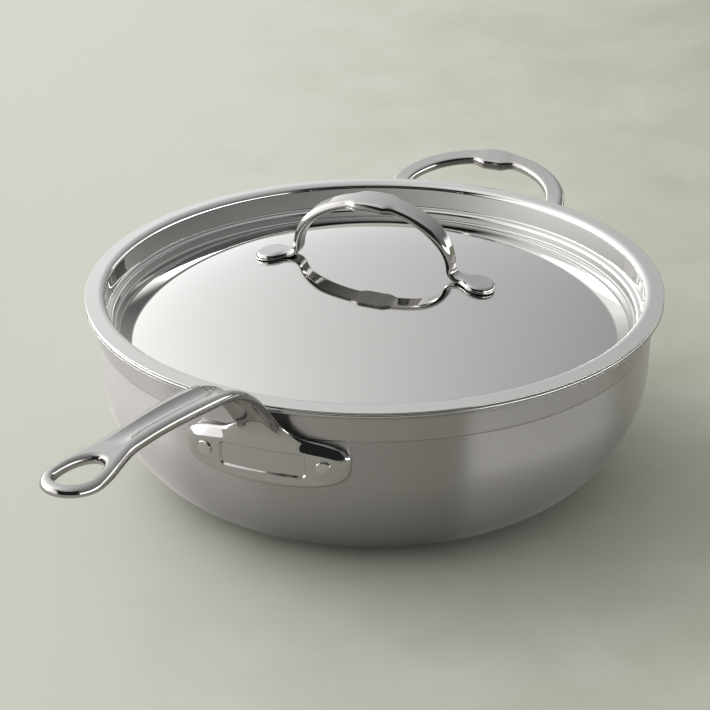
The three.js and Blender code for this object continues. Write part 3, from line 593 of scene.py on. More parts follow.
plate_height = PAN_HEIGHT - PLATE_DROP
plate_up = np.array([np.sin(DRAFT), np.cos(DRAFT)])
plate_out = np.array([np.cos(DRAFT), -np.sin(DRAFT)])
plate_seat = np.array([wall_radius(plate_height), plate_height])
plate_middle = plate_seat + plate_out * (PLATE_GAP + PLATE_THICKNESS / 2)
plate_foot = plate_middle - plate_up * PLATE_HEIGHT / 2
plate_heading = np.pi / 2 - DRAFT

off_neck = np.array([np.sin(NECK_ANGLE), -np.cos(NECK_ANGLE)])
past_lip = np.array([rim_radius, PAN_HEIGHT]) + off_neck * (NECK_CLEARANCE + HANDLE_THICKNESS / 2)
meet = (past_lip - plate_middle) @ off_neck / (plate_up @ off_neck)
bend_start = plate_middle + plate_up * (meet - NECK_BEND * np.tan((plate_heading - NECK_ANGLE) / 2))
neck_bend = arc(bend_start, plate_heading, NECK_ANGLE, NECK_BEND)
neck_end = neck_bend[-1] + NECK_LENGTH * np.array([np.cos(NECK_ANGLE), np.sin(NECK_ANGLE)])
grip_bend = arc(neck_end, NECK_ANGLE, GRIP_ANGLE, GRIP_BEND)
grip_reach = wall_radius(plate_height) + HANDLE_LENGTH - grip_bend[-1, 0]
bow = arc(grip_bend[-1], GRIP_ANGLE, np.arcsin(np.sin(GRIP_ANGLE) - grip_reach / GRIP_BOW), GRIP_BOW)
long_path = route(np.concatenate([[plate_foot], neck_bend, grip_bend, bow[1:]]), HANDLE_SOFTEN)
print(f"long handle path {long_path['length']:.1f} mm")

# %% [markdown]
# The plan has a broad plate, a neck and a grip that grow narrower to a waist, and a bar of even width round the
# hanging hole. Each form is a distance of its own: an oval for the plate, a strap for neck and grip, half ellipses
# for the loop. Joining distances fills the corner between plate and neck, as the mould's rounding does.

# %% Long handle plan
NECK_BASE_HALF = 19.0
NECK_HALF = 11.3
GRIP_HALF = 8.9
LOOP_HALF = 14.3
LOOP_END = 16.0
LOOP_SHOULDER = 48.0
LOOP_BAR = 6.1
HOLE_LENGTH = 33.0
STRAP_ROOT = 0.35 * PLATE_HEIGHT
FILLET = 7.0

tip = long_path["length"]
widest_at = tip - LOOP_END
waist_at = widest_at - LOOP_SHOULDER
hole_at = tip - LOOP_BAR - HOLE_LENGTH
bend_at = np.hypot(*(bend_start - plate_foot))
neck_at = bend_at + NECK_BEND * (plate_heading - NECK_ANGLE)
grip_bend_at = neck_at + NECK_LENGTH
grip_at = grip_bend_at + GRIP_BEND * (NECK_ANGLE - GRIP_ANGLE)


def strap_half(s):
    """Half width of neck, grip and shoulder: three smooth steps between named half widths."""
    neck = NECK_BASE_HALF + (NECK_HALF - NECK_BASE_HALF) * ease(s, bend_at, neck_at)
    grip = (GRIP_HALF - NECK_HALF) * ease(s, grip_at, waist_at)
    return neck + grip + (LOOP_HALF - GRIP_HALF) * ease(s, waist_at, widest_at)


def handle_outline(s, u):
    """Distance inside the plan: plate oval joined to the strap, which ends in half an ellipse."""
    plate = oval(s - PLATE_HEIGHT / 2, u, PLATE_HEIGHT / 2, HANDLE_PLATE_HALF, PLATE_ROUNDNESS)
    strap = np.minimum(beside(strap_half, s, u), s - STRAP_ROOT)
    end = oval(s - widest_at, u, LOOP_END, LOOP_HALF, 2.0)
    return np.where(s > widest_at, end, join(plate, strap, FILLET))


def hole_outline(s, u):
    """Distance outside the hanging hole: half a long ellipse towards the grip and half a short one at the tip."""
    near = -oval(s - widest_at, u, widest_at - hole_at, LOOP_HALF - LOOP_BAR, 2.0)
    far = -oval(s - widest_at, u, LOOP_END - LOOP_BAR, LOOP_HALF - LOOP_BAR, 2.0)
    return np.where(s > widest_at, far, near)


print(f"neck from {neck_at:.1f} mm, grip from {grip_at:.1f} mm, hole from {hole_at:.1f} mm")

# %% [markdown]
# One face of the sheet is the plate's back and the grip's upper side, the other the plate's front and the grip's
# underside. On the plate the front falls to its upper edge and ends as a broad bevel, which catches a bright stripe.
# The scoop on the grip has a crisp rim, so its depth is a plain parabola across. The neck is hollowed in front, and
# the plate has a sunk panel. All of it is taken off the thickness: a boolean would leave sharp, uneven rims.

# %% Long handle faces
STRAP_FROM = 0.8 * PLATE_HEIGHT
BACK_ROUND, BACK_ROUND_GAIN = 0.6, 3.0
FRONT_ROUND, FRONT_ROUND_GAIN = 3.0, -0.8
HOLE_BACK_ROUND, HOLE_FRONT_ROUND = 2.4, 2.0
BEVEL_WIDTH = 9.0
BEVEL_ROUND = 1.2
BEVEL_LOW = 0.15
BEVEL_FROM, BEVEL_FULL, BEVEL_FADE = 3.0, 13.0, 5.0
SEAM_PLATE, SEAM_FALL = 0.8, 2.0
SCOOP_DEPTH, SCOOP_LENGTH = 2.4, 98.0
SCOOP_SHARE, SCOOP_POWER = 0.5, 2.5
HOLLOW_DEPTH, HOLLOW_START = 3.0, 20.5
HOLLOW_SHARE, HOLLOW_FADE = 0.8, 20.0
PANEL_HALF, PANEL_HEIGHT = 22.4, 12.6
PANEL_DEPTH, PANEL_CORNER, PANEL_EDGE = 1.0, 2.4, 0.5


def panel(s, u):
    """Distance inside the plate's sunk panel, a rectangle with round corners."""
    rise = np.abs(s - PLATE_HEIGHT / 2) - PANEL_HEIGHT / 2 + PANEL_CORNER
    reach = np.abs(u) - PANEL_HALF + PANEL_CORNER
    return PANEL_CORNER - np.hypot(rise.clip(0), reach.clip(0)) - np.maximum(rise, reach).clip(None, 0)


def seam(s):
    """Height over the middle of the sheet at which the faces meet: towards the wall on the plate, low on the grip."""
    return SEAM_PLATE - SEAM_FALL * ease(s, STRAP_FROM, grip_at)


def handle_faces(s, u, out, hole):
    """Heights of the two faces over the middle of the sheet, at distances out and hole from its edges."""
    thick = PLATE_THICKNESS + (HANDLE_THICKNESS - PLATE_THICKNESS) * ease(s, bend_at, neck_at)
    on_strap = ease(s, STRAP_FROM, neck_at)
    back = edge(out, BACK_ROUND + BACK_ROUND_GAIN * on_strap) * edge(hole, HOLE_BACK_ROUND)
    plain = edge(out, FRONT_ROUND + FRONT_ROUND_GAIN * on_strap) * edge(hole, HOLE_FRONT_ROUND)
    fall = 1 - (1 - np.clip(out / BEVEL_WIDTH, 0, 1)) ** 2
    bevel = edge(out, BEVEL_ROUND) * (BEVEL_LOW + (1 - BEVEL_LOW) * fall)
    bevelled = ease(s, BEVEL_FROM, BEVEL_FULL) * (1 - ease(s, PLATE_HEIGHT, neck_at + BEVEL_FADE))
    front = plain + (bevel - plain) * bevelled
    along_scoop = 1 - np.clip((s - grip_at) / SCOOP_LENGTH, 0, 1) ** SCOOP_POWER
    across_scoop = np.clip(1 - (u / (SCOOP_SHARE * strap_half(s))) ** 2, 0, 1)
    scoop = SCOOP_DEPTH * ease(s, neck_at, grip_bend_at) * along_scoop * across_scoop
    along_hollow = np.clip((s - HOLLOW_START) / (neck_at - HOLLOW_START), 0, 1)
    across_hollow = np.clip(1 - (u / (HOLLOW_SHARE * strap_half(s))) ** 2, 0, 1)
    hollow = HOLLOW_DEPTH * along_hollow * (1 - ease(s, grip_bend_at, grip_at + HOLLOW_FADE)) * across_hollow
    sunk = PANEL_DEPTH * ease(panel(s, u), -PANEL_EDGE, PANEL_EDGE)
    top = seam(s) + (thick / 2 - seam(s)) * back - scoop
    return top, seam(s) - (thick / 2 + seam(s)) * front + hollow + sunk


# %% [markdown]
# Now the grid. Up to the hole, rows run straight across, packed closely at the panel's rim, where the face bends.
# Across the plate's panel the columns are held straight up, so that its sides do not come out as stairs.

# %% Long handle plate, neck and grip
near_rim = np.concatenate([np.arange(-PANEL_CORNER - 0.3, -0.7, 0.25), np.linspace(-0.6, 0.6, 9)])
HELD_FROM, HELD_FULL, FREE_FROM, FREE_FULL = 3.5, 7.0, 20.5, 24.0
HELD_ACROSS = 0.6

panel_columns = (PANEL_HALF + near_rim) / HANDLE_PLATE_HALF
half_across = np.sort(np.concatenate([np.sin(np.linspace(0, np.pi / 2, 40)), panel_columns]))
across = np.concatenate([-half_across[:0:-1], half_across])
plate_middle_s = PLATE_HEIGHT / 2
panel_rows = PANEL_HEIGHT / 2 + near_rim
grip_s = places((0, plate_middle_s, 26, -1), (plate_middle_s, PLATE_HEIGHT + 1, 40, 1),
                (PLATE_HEIGHT + 1, neck_at, 24, 0), (neck_at, grip_at, 44, 0), (grip_at, hole_at, 70, 1))
grip_s = np.sort(np.concatenate([grip_s, plate_middle_s - panel_rows, plate_middle_s + panel_rows]))
grip_half = outline_half(handle_outline, grip_s)[:, None]
held = (ease(grip_s, HELD_FROM, HELD_FULL) * (1 - ease(grip_s, FREE_FROM, FREE_FULL)))[:, None]
held_half = grip_half + (HANDLE_PLATE_HALF - grip_half) * held
pull = (grip_half - held_half) * np.sign(across) * ease(np.abs(across), HELD_ACROSS, 1)
grip_u = across * held_half + pull
grip_row = np.broadcast_to(grip_s[:, None], grip_u.shape)
upper, lower = handle_faces(grip_row, grip_u, handle_outline(grip_row, grip_u).clip(0),
                            hole_outline(grip_row, grip_u).clip(0))
upper[:, [0, -1]] = lower[:, [0, -1]] = seam(grip_row[:, [0, -1]])
hole_column = len(half_across) - 1
upper[-1, hole_column] = lower[-1, hole_column] = seam(hole_at)
grip_wrap = 1 - ease(grip_row, PLATE_HEIGHT, grip_bend_at)
grip_grids = sheet(long_path, grip_row, grip_u, upper, lower, grip_wrap)
print("plate, neck and grip:", grip_u.shape, "points on each face")

# %% [markdown]
# Beside the hole each row becomes two bars, which meet round the tip. One side is worked out and then mirrored. The
# columns of the bars start as those of the grip, so that the grids share their points and weld without a crack.

# %% Long handle loop
SPREAD = 6.0

bar_s = places((hole_at, widest_at, 44, -1))
along_hole = np.clip(1 - ((bar_s - widest_at) / (widest_at - hole_at)) ** 2, 0, 1)
bar_inner = (LOOP_HALF - LOOP_BAR) * np.sqrt(along_hole)
bar_inner[0] = 0
bar_outer = outline_half(handle_outline, bar_s)
spread = np.clip((bar_s - hole_at) / SPREAD, 0, 1)[:, None]
both_edges = (1 - np.cos(np.linspace(0, np.pi, len(half_across)))) / 2
bar_u = bar_inner[:, None] + (bar_outer - bar_inner)[:, None] * ((1 - spread) * half_across + spread * both_edges)
bar_row = np.broadcast_to(bar_s[:, None], bar_u.shape)
upper, lower = handle_faces(bar_row, bar_u, handle_outline(bar_row, bar_u).clip(0),
                            hole_outline(bar_row, bar_u).clip(0))
upper[:, [0, -1]] = lower[:, [0, -1]] = seam(bar_row[:, [0, -1]])
loop_grids = sheet(long_path, bar_row, bar_u, upper, lower, 0.0)

round_tip = np.linspace(0, np.pi / 2, 40)[:, None]
bar = LOOP_BAR * both_edges
tip_s = widest_at + (LOOP_END - LOOP_BAR + bar) * np.sin(round_tip)
tip_u = (LOOP_HALF - LOOP_BAR + bar) * np.cos(round_tip)
upper, lower = handle_faces(tip_s, tip_u, np.broadcast_to(LOOP_BAR - bar, tip_s.shape),
                            np.broadcast_to(bar, tip_s.shape))
loop_grids += sheet(long_path, tip_s, tip_u, upper, lower, 0.0)
long_handle = surface("long_handle_casting", grip_grids + mirrored(loop_grids))
dress(long_handle, "pan", "long_handle", polished_cast)

# %% [markdown]
# ### Helper handle
#
# A stirrup opposite the long handle, cast in one with its riveting plate, with a widened rest for the finger in the
# middle of its bow. A torus could be squeezed into this form, but its bar is not of even width. The plan is a ring
# between two lines, the edge of the hole and the outer edge, which are drawn first.

# %% Helper handle path and edges
HELPER_REACH = 52.0
HELPER_RISE = np.radians(14.0)
HELPER_BEND = 24.0
HELPER_BEND_START = 4.5
HELPER_SOFTEN = 6.0
HELPER_HALF = 53.4
HELPER_PLATE_HALF = 51.0
HELPER_LEG = 11.0
HELPER_BOW = 10.5
HELPER_ROUND = 48.0
HELPER_WEB = 1.5
HELPER_CORNER = 4.0
KNUCKLE_FULL, KNUCKLE_END = 4.0, 13.0
KNUCKLE_IN, KNUCKLE_OUT = 4.0, 1.0

helper_bend = arc(plate_middle + plate_up * HELPER_BEND_START, plate_heading, HELPER_RISE, HELPER_BEND)
helper_run = wall_radius(plate_height) + HELPER_REACH - helper_bend[-1, 0]
helper_end = helper_bend[-1] + helper_run * np.array([1, np.tan(HELPER_RISE)])
helper_path = route(np.concatenate([[plate_foot], helper_bend, [helper_end]]), HELPER_SOFTEN)
helper_tip = helper_path["length"]
helper_wide = helper_tip - HELPER_ROUND


def knuckle(u):
    """Share of the finger rest at a distance from the middle of the bow."""
    return 1 - ease(np.abs(u), KNUCKLE_FULL, KNUCKLE_END)


quarter = np.linspace(0, np.pi / 2, 120)
plate_power = 2 / PLATE_ROUNDNESS
plate_edge = np.stack([PLATE_HEIGHT / 2 * (1 - np.cos(quarter) ** plate_power),
                       HELPER_PLATE_HALF * np.sin(quarter) ** plate_power], axis=1)
outer_low = np.concatenate([plate_edge, [[helper_wide, HELPER_HALF]]])
outer_bow = np.stack([helper_wide + HELPER_ROUND * np.sin(quarter), HELPER_HALF * np.cos(quarter)], axis=1)
outer_bow[:, 0] += KNUCKLE_OUT * knuckle(outer_bow[:, 1]) * np.sin(quarter)
gap_from, gap_half = PLATE_HEIGHT + HELPER_WEB, HELPER_HALF - HELPER_LEG
turn_in = np.stack([gap_from + HELPER_CORNER * (1 - np.cos(quarter)),
                    gap_half - HELPER_CORNER * (1 - np.sin(quarter))], axis=1)
inner_low = np.concatenate([[[gap_from, 0]], turn_in, [[helper_wide, gap_half]]])
inner_bow = np.stack([helper_wide + (HELPER_ROUND - HELPER_BOW) * np.sin(quarter),
                      gap_half * np.cos(quarter)], axis=1)
inner_bow[:, 0] -= KNUCKLE_IN * knuckle(inner_bow[:, 1]) * np.sin(quarter)
print(f"helper path {helper_tip:.1f} mm, finger gap from {gap_from:.1f} mm")

# %% [markdown]
# Columns run from one line to the other all the way round. No formula gives the distance to such lines, so each
# point looks for the nearest point of them, and the faces are rounded off by that, as on the long handle.

# %% Helper handle surface
HELPER_THICKNESS = 5.2
HELPER_SEAM_FALL = 1.0
KNUCKLE_SWELL = 1.0
BOW_FROM = 0.7 * PLATE_HEIGHT
HELPER_BACK_ROUND, HELPER_BACK_GAIN, GAP_BACK_ROUND = 0.6, 2.6, 2.2
HELPER_FRONT_ROUND, HELPER_FRONT_GAIN, GAP_FRONT_ROUND = 3.0, -1.0, 1.8
WRAPPED_TO, STRAIGHT_FROM = 0.66 * PLATE_HEIGHT, helper_wide + 16


def even(line, count):
    """A line resampled at equal distances."""
    run = np.concatenate([[0], np.cumsum(np.hypot(*np.diff(line, axis=0).T))])
    at = np.linspace(0, run[-1], count)
    return np.stack([np.interp(at, run, line[:, k]) for k in (0, 1)], axis=1)


def clearance(s, u, line):
    """Distance of each point to the nearest point of a line: foot of the perpendicular on each of its segments."""
    start, way = line[:-1], np.diff(line, axis=0)
    at = np.stack([s, u], axis=-1)[..., None, :] - start
    share = np.clip((at * way).sum(-1) / (way ** 2).sum(-1), 0, 1)
    return np.hypot(*np.moveaxis(at - share[..., None] * way, -1, 0)).min(axis=-1)


gap_line = np.concatenate([even(inner_low, 41), even(inner_bow, 71)[1:]])
edge_line = np.concatenate([even(outer_low, 41), even(outer_bow, 71)[1:]])
from_gap = (1 - np.cos(np.linspace(0, np.pi, 33))) / 2
plan = gap_line[:, None] + (edge_line - gap_line)[:, None] * from_gap[:, None]
ring_s, ring_u = plan[..., 0], plan[..., 1]
to_gap, to_edge = clearance(ring_s, ring_u, gap_line), clearance(ring_s, ring_u, edge_line)
on_bow = ease(ring_s, BOW_FROM, helper_wide)
ring_thick = HELPER_THICKNESS + KNUCKLE_SWELL * knuckle(ring_u) * ease(ring_s, helper_wide, helper_tip)
ring_seam = -HELPER_SEAM_FALL * on_bow
ring_back = edge(to_edge, HELPER_BACK_ROUND + HELPER_BACK_GAIN * on_bow) * edge(to_gap, GAP_BACK_ROUND)
ring_front = edge(to_edge, HELPER_FRONT_ROUND + HELPER_FRONT_GAIN * on_bow) * edge(to_gap, GAP_FRONT_ROUND)
ring_grids = mirrored(sheet(helper_path, ring_s, ring_u, ring_seam + (ring_thick / 2 - ring_seam) * ring_back,
                            ring_seam - (ring_thick / 2 + ring_seam) * ring_front,
                            1 - ease(ring_s, WRAPPED_TO, STRAIGHT_FROM)))
half_turn = np.array([-1, -1, 1])
helper = surface("helper_handle_casting", [(place * half_turn, mark) for place, mark in ring_grids])
dress(helper, "pan", "helper_handle", polished_cast)

# %% [markdown]
# ### Lid handle
#
# A strap that leaves a round pad, bends up, crosses the dome in an arch and comes down to the other pad. The real
# one is forged and welded on. It could be an extruded curve, but its pads, legs and grip differ in width, so it is
# made as the castings are: a path first, half an ellipse between two short bends.

# %% Lid handle path
LID_SPAN = 116.0
LID_ARCH = 86.0
LID_HEIGHT = 34.0
LID_PAD_THICKNESS = 3.3
LID_PAD = 9.0
LID_PAD_GAP = 0.3
LID_FOOT = 5.0
LID_SOFTEN = 3.0

pad_slope = np.arcsin(LID_SPAN / 2 / dome_radius)
pad_lift = LID_PAD_GAP + LID_PAD_THICKNESS / 2
up_dome = np.array([np.cos(pad_slope), np.sin(pad_slope)])
pad = np.array([-LID_SPAN / 2 - pad_lift * np.sin(pad_slope),
                dome_height(LID_SPAN / 2) + pad_lift * np.cos(pad_slope)])
foot_x = -LID_ARCH / 2 - LID_FOOT
foot_start = pad + up_dome * (foot_x + LID_FOOT * np.sin(pad_slope) - pad[0]) / up_dome[0]
spring = foot_start[1] + LID_FOOT * np.cos(pad_slope)
over = np.linspace(0, np.pi, 2000)[1:-1, None]
arch_size = np.array([-LID_ARCH / 2, dome_top + LID_HEIGHT - spring])
arch = np.array([0, spring]) + arch_size * np.concatenate([np.cos(over), np.sin(over)], axis=1)
half_path = np.concatenate([[pad - up_dome * LID_PAD], arc(foot_start, pad_slope, np.pi / 2, LID_FOOT)])
lid_path = route(np.concatenate([half_path, arch, half_path[::-1] * np.array([-1, 1])]), LID_SOFTEN)
lid_length = lid_path["length"]
leg_at = np.hypot(*(foot_start - pad)) + LID_PAD + LID_FOOT * (np.pi / 2 - pad_slope)
print(f"lid handle path {lid_length:.1f} mm, legs from {leg_at:.1f} mm")

# %% [markdown]
# Its plan is a circle at each end, joined to a strap that is narrow at the legs and widest at the grip. The strap
# is rounded on top and crisp below, and it swells a little under the grip as a rest for the finger.

# %% Lid handle surface
LID_STRAP = 5.2
LID_LEG_HALF = 4.8
LID_STRAP_HALF = 7.1
LID_GRIP_HALF = 9.8
LEG_LENGTH = 24.0
GRIP_FULL, GRIP_END = 7.5, 14.0
PAD_FILLET = 2.5
REST_DEPTH, REST_FULL, REST_END = 0.8, 4.0, 15.0
LID_SEAM = -1.0
PAD_TOP_ROUND, STRAP_TOP_GAIN = 2.2, 1.0
PAD_LOW_ROUND, STRAP_LOW_GAIN = 0.3, 1.7

crown_at = lid_length / 2


def lid_strap(s):
    """Half width of the strap: narrow at the legs, wider over the arch, widest at the grip."""
    near = np.minimum(s, lid_length - s)
    strap = LID_LEG_HALF + (LID_STRAP_HALF - LID_LEG_HALF) * ease(near, leg_at, leg_at + LEG_LENGTH)
    return strap + (LID_GRIP_HALF - LID_STRAP_HALF) * (1 - ease(crown_at - near, GRIP_FULL, GRIP_END))


def lid_outline(s, u):
    """Distance inside the plan: a circle at each end joined to the strap."""
    near = np.minimum(s, lid_length - s)
    disc = LID_PAD - np.hypot(near - LID_PAD, u)
    return join(disc, np.minimum(beside(lid_strap, s, u), near - LID_PAD), PAD_FILLET)


half_s = places((0, LID_PAD, 18, -1), (LID_PAD, 2 * LID_PAD + 2, 20, 0),
                (2 * LID_PAD + 2, crown_at - 20, 50, 0), (crown_at - 20, crown_at, 30, 0))
lid_s = np.concatenate([half_s, lid_length - half_s[-2::-1]])
lid_u = outline_half(lid_outline, lid_s)[:, None] * np.sin(np.linspace(-1, 1, 37) * np.pi / 2)
lid_row = np.broadcast_to(lid_s[:, None], lid_u.shape)
within = lid_outline(lid_row, lid_u).clip(0)
from_end = np.minimum(lid_row, lid_length - lid_row)
thicker = ease(from_end, LID_PAD, (leg_at + crown_at) / 2)
strap_thick = LID_PAD_THICKNESS + (LID_STRAP - LID_PAD_THICKNESS) * thicker
off_pad = ease(from_end, LID_PAD + 4, 2 * LID_PAD + 6)
finger_rest = REST_DEPTH * (1 - ease(crown_at - from_end, REST_FULL, REST_END))
upper = LID_SEAM + (strap_thick / 2 - LID_SEAM) * edge(within, PAD_TOP_ROUND + STRAP_TOP_GAIN * off_pad)
lower = LID_SEAM - (strap_thick / 2 + LID_SEAM + finger_rest) * edge(within, PAD_LOW_ROUND + STRAP_LOW_GAIN * off_pad)
upper[:, [0, -1]] = lower[:, [0, -1]] = LID_SEAM
strap_grids = sheet(lid_path, lid_row, lid_u, upper, lower, 0.0)
quarter_turn = np.array([[0, 1, 0], [-1, 0, 0], [0, 0, 1]])
lid_handle = surface("lid_handle_strap", [(place @ quarter_turn, mark) for place, mark in strap_grids])
dress(lid_handle, "lid", "lid_handle", polished_cast)

# %% [markdown]
# ### Rivets
#
# Four solid rivets hold the two castings: a shank through plate and wall, a broad head in the pan and a small one
# outside. They could be cylinders with a bevel, but a struck head is a low cap. So each is a profile turned about
# its own axis, which stands square to the wall.

# %% Rivets
RIVET_SPREAD = 30.8
RIVET_SHANK = 2.6
RIVET_HEAD = 3.9
RIVET_HEAD_HEIGHT = 1.1
RIVET_INNER_HEAD = 5.25
RIVET_INNER_HEIGHT = 1.2
RIVET_SEAT = 0.2
RIVET_SIDE = 0.35
RIVET_SIDES = 40

outer_face = PLATE_GAP + PLATE_THICKNESS + RIVET_SEAT / 2
inner_face = -GAUGE - RIVET_SEAT


def head(radius, height, face, way):
    """Half profile of a low head from its rim to its crown: a short upright side, then a quarter ellipse."""
    turn = np.linspace(0, np.pi / 2, 10)
    rise = RIVET_SIDE + (1 - RIVET_SIDE) * np.sin(turn)
    cap = np.stack([radius * np.cos(turn), face + way * height * rise], axis=1)
    return np.concatenate([[[radius, face]], cap])


rivet_profile = np.concatenate([head(RIVET_INNER_HEAD, RIVET_INNER_HEIGHT, inner_face, -1)[::-1],
                                [[RIVET_SHANK, inner_face], [RIVET_SHANK, outer_face]],
                                head(RIVET_HEAD, RIVET_HEAD_HEIGHT, outer_face, 1)])
rivet_profile[[0, -1], 0] = 0
upright, rivet_mark = turned(rivet_profile, RIVET_SIDES)
for handle, facing in (("long_handle", 0.0), ("helper_handle", np.pi)):
    for name, way in (("left", -1), ("right", 1)):
        angle = facing + way * RIVET_SPREAD / wall_radius(plate_height)
        axis = np.array([np.cos(DRAFT) * np.cos(angle), np.cos(DRAFT) * np.sin(angle), -np.sin(DRAFT)])
        level = np.array([-np.sin(angle), np.cos(angle), 0.0])
        seat = np.array([np.cos(angle) * plate_seat[0], np.sin(angle) * plate_seat[0], plate_seat[1]])
        place = seat + upright @ np.stack([level, np.cross(axis, level), axis])
        rivet = surface(f"{handle}_rivet_{name}_steel", [(place, rivet_mark)])
        dress(rivet, "pan", f"{handle}_rivet_{name}", rivet_steel)

# %% [markdown]
# ## Stage, light and camera
#
# The photograph was taken with a long lens from well above the rim. A camera could be moved by hand until the
# picture agrees, but the ellipses of rim and base fix its pitch and its distance, so it is placed by them: the
# middle of the rim has to fall on one known point of the frame.

# %% Camera
PITCH = 0.4393
ROLL = -0.0049
TURN = np.radians(22.0)
DISTANCE = 1584.7
FOCAL = 3000.0
FRAME = 710.0
SENSOR = 36.0
RIM_AT = np.array([374.36, 285.52])

ahead = np.array([-np.cos(TURN) * np.cos(PITCH), -np.sin(TURN) * np.cos(PITCH), -np.sin(PITCH)])
to_right = np.array([-np.sin(TURN), np.cos(TURN), 0.0])
upward = np.cross(to_right, ahead)
rolled_right = np.cos(ROLL) * to_right + np.sin(ROLL) * upward
rolled_up = np.cos(ROLL) * upward - np.sin(ROLL) * to_right
offset = (RIM_AT - FRAME / 2) / FOCAL * DISTANCE
eye = np.array([0, 0, flange_top]) - (offset[0] * rolled_right - offset[1] * rolled_up + DISTANCE * ahead)
camera = bpy.data.objects.new("camera", bpy.data.cameras.new("camera"))
camera.data.sensor_width = SENSOR
camera.data.lens = SENSOR * FOCAL / FRAME
camera.data.clip_end = 50.0
camera_pose = np.eye(4)
camera_pose[:3, :3] = np.stack([rolled_right, rolled_up, -ahead], axis=1)
camera_pose[:3, 3] = eye * MM
camera.matrix_world = Matrix(camera_pose.tolist())
bpy.context.collection.objects.link(camera)
bpy.context.scene.camera = camera
print("camera at", (eye * MM).round(3))

# %% [markdown]
# ### Floor
#
# The pan stands on pale honed stone, with soft clouds in it and no gloss. A plain colour would do for the shadow,
# but it shows in every polished face, so it has the stone's clouds, about 70 mm wide. Its colour is also painted
# darker and a little greener to the right: painted shade, standing in for the fall-off of the light from the left.

# %% Floor
FLOOR_HALF = 8.0
CLOUD = 71.43
CLOUD_SHARE = 0.45

behind = np.array([-np.cos(TURN), -np.sin(TURN), 0.0])
corners = FLOOR_HALF * np.array([[-1, -1, 0], [1, -1, 0], [1, 1, 0], [-1, 1, 0]])
floor_mesh = bpy.data.meshes.new("floor")
floor_mesh.from_pydata(corners.tolist(), [], [(0, 1, 2, 3)])
floor = bpy.data.objects.new("floor", floor_mesh)
bpy.context.collection.objects.link(floor)
stone = bpy.data.materials.new("limestone_honed_painted_shade")
stone.use_nodes = True
stone_nodes, stone_finish = stone.node_tree, stone.node_tree.nodes["Principled BSDF"]
on_floor = add(stone_nodes, "ShaderNodeTexCoord")
clouds = add(stone_nodes, "ShaderNodeTexNoise", {"Vector": on_floor.outputs["Object"]},
             {"Scale": 1 / (CLOUD * MM), "Detail": 7.0, "Roughness": 0.6, "Distortion": 0.3})
# Painted shade: the floor's colour grows darker along the camera's right-hand direction, in place of the light's
# fall-off.
painted_falloff = add(stone_nodes, "ShaderNodeVectorMath", {0: on_floor.outputs["Object"]}, {1: tuple(to_right)},
            operation="DOT_PRODUCT")
# The clouds are the stone's own colour; the term added to them paints the shade in.
fade = add(stone_nodes, "ShaderNodeMath", {0: clouds.outputs["Fac"], 2: painted_falloff.outputs["Value"]}, {1: CLOUD_SHARE},
           operation="MULTIPLY_ADD")
# The ramp runs from the lit stone at the left to the painted shade at the right, whose stop is a little greener.
stone_and_painted_shade = add(stone_nodes, "ShaderNodeValToRGB", {"Fac": fade.outputs["Value"]})
for stop, (position, hexcode) in zip(stone_and_painted_shade.color_ramp.elements, ((0.135, "#bebeb4"), (0.635, "#9d9e8e"))):
    stop.position, stop.color = position, linear(hexcode)
stone_nodes.links.new(stone_and_painted_shade.outputs["Color"], stone_finish.inputs["Base Color"])
stone_finish.inputs["Roughness"].default_value = 0.7
stone_finish.inputs["Specular IOR Level"].default_value = 0.2
floor_mesh.materials.append(stone)
print("floor", FLOOR_HALF * 2, "m wide")

# %% [markdown]
# ### Light tent
#
# A studio lights polished metal through a white tent. Area lamps alone would leave hard white squares in the lid,
# so the tent is the world's own light, worked out from the direction of each ray: how far it points to the side,
# to the back and up. It fades from left to right, as the dome shows. It is dark on the camera's side, which gives the
# castings their black edges. Two bright cards stand near the horizon, and the brushed wall spreads each of them into
# an upright band.

# %% Smooth parts of the light tent
world = bpy.data.worlds.new("light_tent")
bpy.context.scene.world = world
world.use_nodes = True
tent = world.node_tree
look = add(tent, "ShaderNodeTexCoord")
parts = {}
for name, axis in (("side", to_right), ("back", behind), ("high", np.array([0.0, 0.0, 1.0]))):
    parts[name] = add(tent, "ShaderNodeVectorMath", {0: look.outputs["Generated"]}, {1: tuple(axis)},
                      operation="DOT_PRODUCT").outputs["Value"]

# Each row is a smooth step along one direction: its name, the direction, where it is 0, where it is full, how much.
for name, direction, start, full, amount in (
        ("lens_side", "back", 0.12, -0.25, 0.97),
        ("below_roof", "high", 0.8, 0.62, 1.0),
        ("off_left", "side", -0.85, -0.55, 1.0),
        ("off_right", "side", 0.62, 0.38, 1.0),
        ("lens_shade", "back", 0.0, -0.4, 0.22),
        ("over_floor", "high", -0.02, 0.03, 1.0),
        ("under_cloth", "high", 0.22, 0.1, 1.0),
        ("right_edge", "side", 0.56, 0.62, 1.0),
        ("right_front", "back", 0.4, 0.1, 5.0),
        ("right_back", "back", 0.85, 0.75, 2.5),
        ("left_edge", "side", -0.5, -0.75, 15.0),
        ("left_back", "back", -0.2, 0.1, 1.0)):
    parts[name] = add(tent, "ShaderNodeMapRange", {"Value": parts[direction]},
                      {"From Min": start, "From Max": full, "To Max": amount},
                      interpolation_type="SMOOTHSTEP").outputs["Result"]
print(len(parts), "smooth parts")

# %% [markdown]
# The parts are put together in a list of small sums. The fade comes first: a ray that the lid throws back to the
# camera points to the side by as much as the lid's point lies to the side, so the slant of a ray, side over depth,
# goes into an exponent. Then the dark side is taken off, and the cards are added in their low strip.

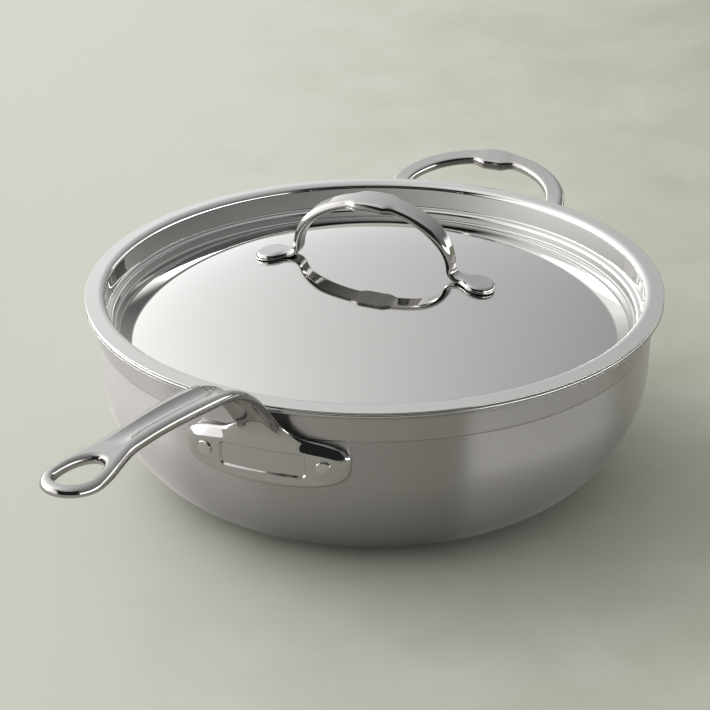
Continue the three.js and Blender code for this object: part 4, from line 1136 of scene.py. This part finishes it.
# %% Sums of the light tent
# Each row is one sum: its name, the operation, and its terms, which are earlier parts or numbers.
for name, operation, *terms in (
        ("far", "MAXIMUM", "back", 0.15),
        ("depth", "MULTIPLY_ADD", "high", 2.74, "far"),
        ("depth_held", "MAXIMUM", "depth", 0.4),
        ("slant", "DIVIDE", "side", "depth_held"),
        ("slant_left", "MAXIMUM", "slant", -0.4),
        ("slant_held", "MINIMUM", "slant_left", 0.5),
        ("power", "MULTIPLY_ADD", "slant_held", -2.3, -0.023),
        ("fade", "EXPONENT", "power"),
        ("dark_low", "MULTIPLY", "lens_side", "below_roof"),
        ("dark_right", "MULTIPLY", "dark_low", "off_left"),
        ("dark", "MULTIPLY", "dark_right", "off_right"),
        ("taken", "ADD", "dark", "lens_shade"),
        ("left_over", "SUBTRACT", 1.0, "taken"),
        ("cloth", "MULTIPLY", "fade", "left_over"),
        ("cloth_held", "MAXIMUM", "cloth", 0.03),
        ("strip", "MULTIPLY", "over_floor", "under_cloth"),
        ("right_length", "ADD", "right_front", "right_back"),
        ("right_card", "MULTIPLY", "right_edge", "right_length"),
        ("left_card", "MULTIPLY", "left_edge", "left_back"),
        ("cards", "ADD", "left_card", "right_card"),
        ("light", "MULTIPLY_ADD", "strip", "cards", "cloth_held")):
    linked = {i: parts[term] for i, term in enumerate(terms) if isinstance(term, str)}
    fixed = {i: term for i, term in enumerate(terms) if not isinstance(term, str)}
    parts[name] = add(tent, "ShaderNodeMath", linked, fixed, operation=operation).outputs["Value"]
glow = tent.nodes["Background"]
glow.inputs["Color"].default_value = linear("#ffffff")
tent.links.new(parts["light"], glow.inputs["Strength"])
print(len(parts), "parts in", world.name)

# %% [markdown]
# ### Lamp
#
# A tent alone casts hardly any shadow. One weak, large lamp at the back left gives the soft shadow to the right of
# the pan. It is kept out of mirror reflections, where its round edge would show in the lid.

# %% Lamp
LAMP_SIZE = 2.0
LAMP_POWER = 15.0
LAMP_LEFT, LAMP_BACK, LAMP_HIGH = 1.2, 1.1, 1.5

lamp = bpy.data.objects.new("soft_lamp", bpy.data.lights.new("soft_lamp", "AREA"))
lamp.data.shape = "DISK"
lamp.data.size = LAMP_SIZE
lamp.data.energy = LAMP_POWER
lamp.visible_glossy = False
lamp_at = -LAMP_LEFT * to_right + LAMP_BACK * behind + np.array([0, 0, LAMP_HIGH])
aim = lamp_at / np.linalg.norm(lamp_at)
lamp_side = np.cross([0, 0, 1.0], aim)
lamp_side /= np.linalg.norm(lamp_side)
lamp_pose = np.eye(4)
lamp_pose[:3, :3] = np.stack([lamp_side, np.cross(aim, lamp_side), aim], axis=1)
lamp_pose[:3, 3] = lamp_at
lamp.matrix_world = Matrix(lamp_pose.tolist())
bpy.context.collection.objects.link(lamp)
bpy.context.scene.view_settings.view_transform = "Standard"
print("lamp at", lamp_at.round(2))
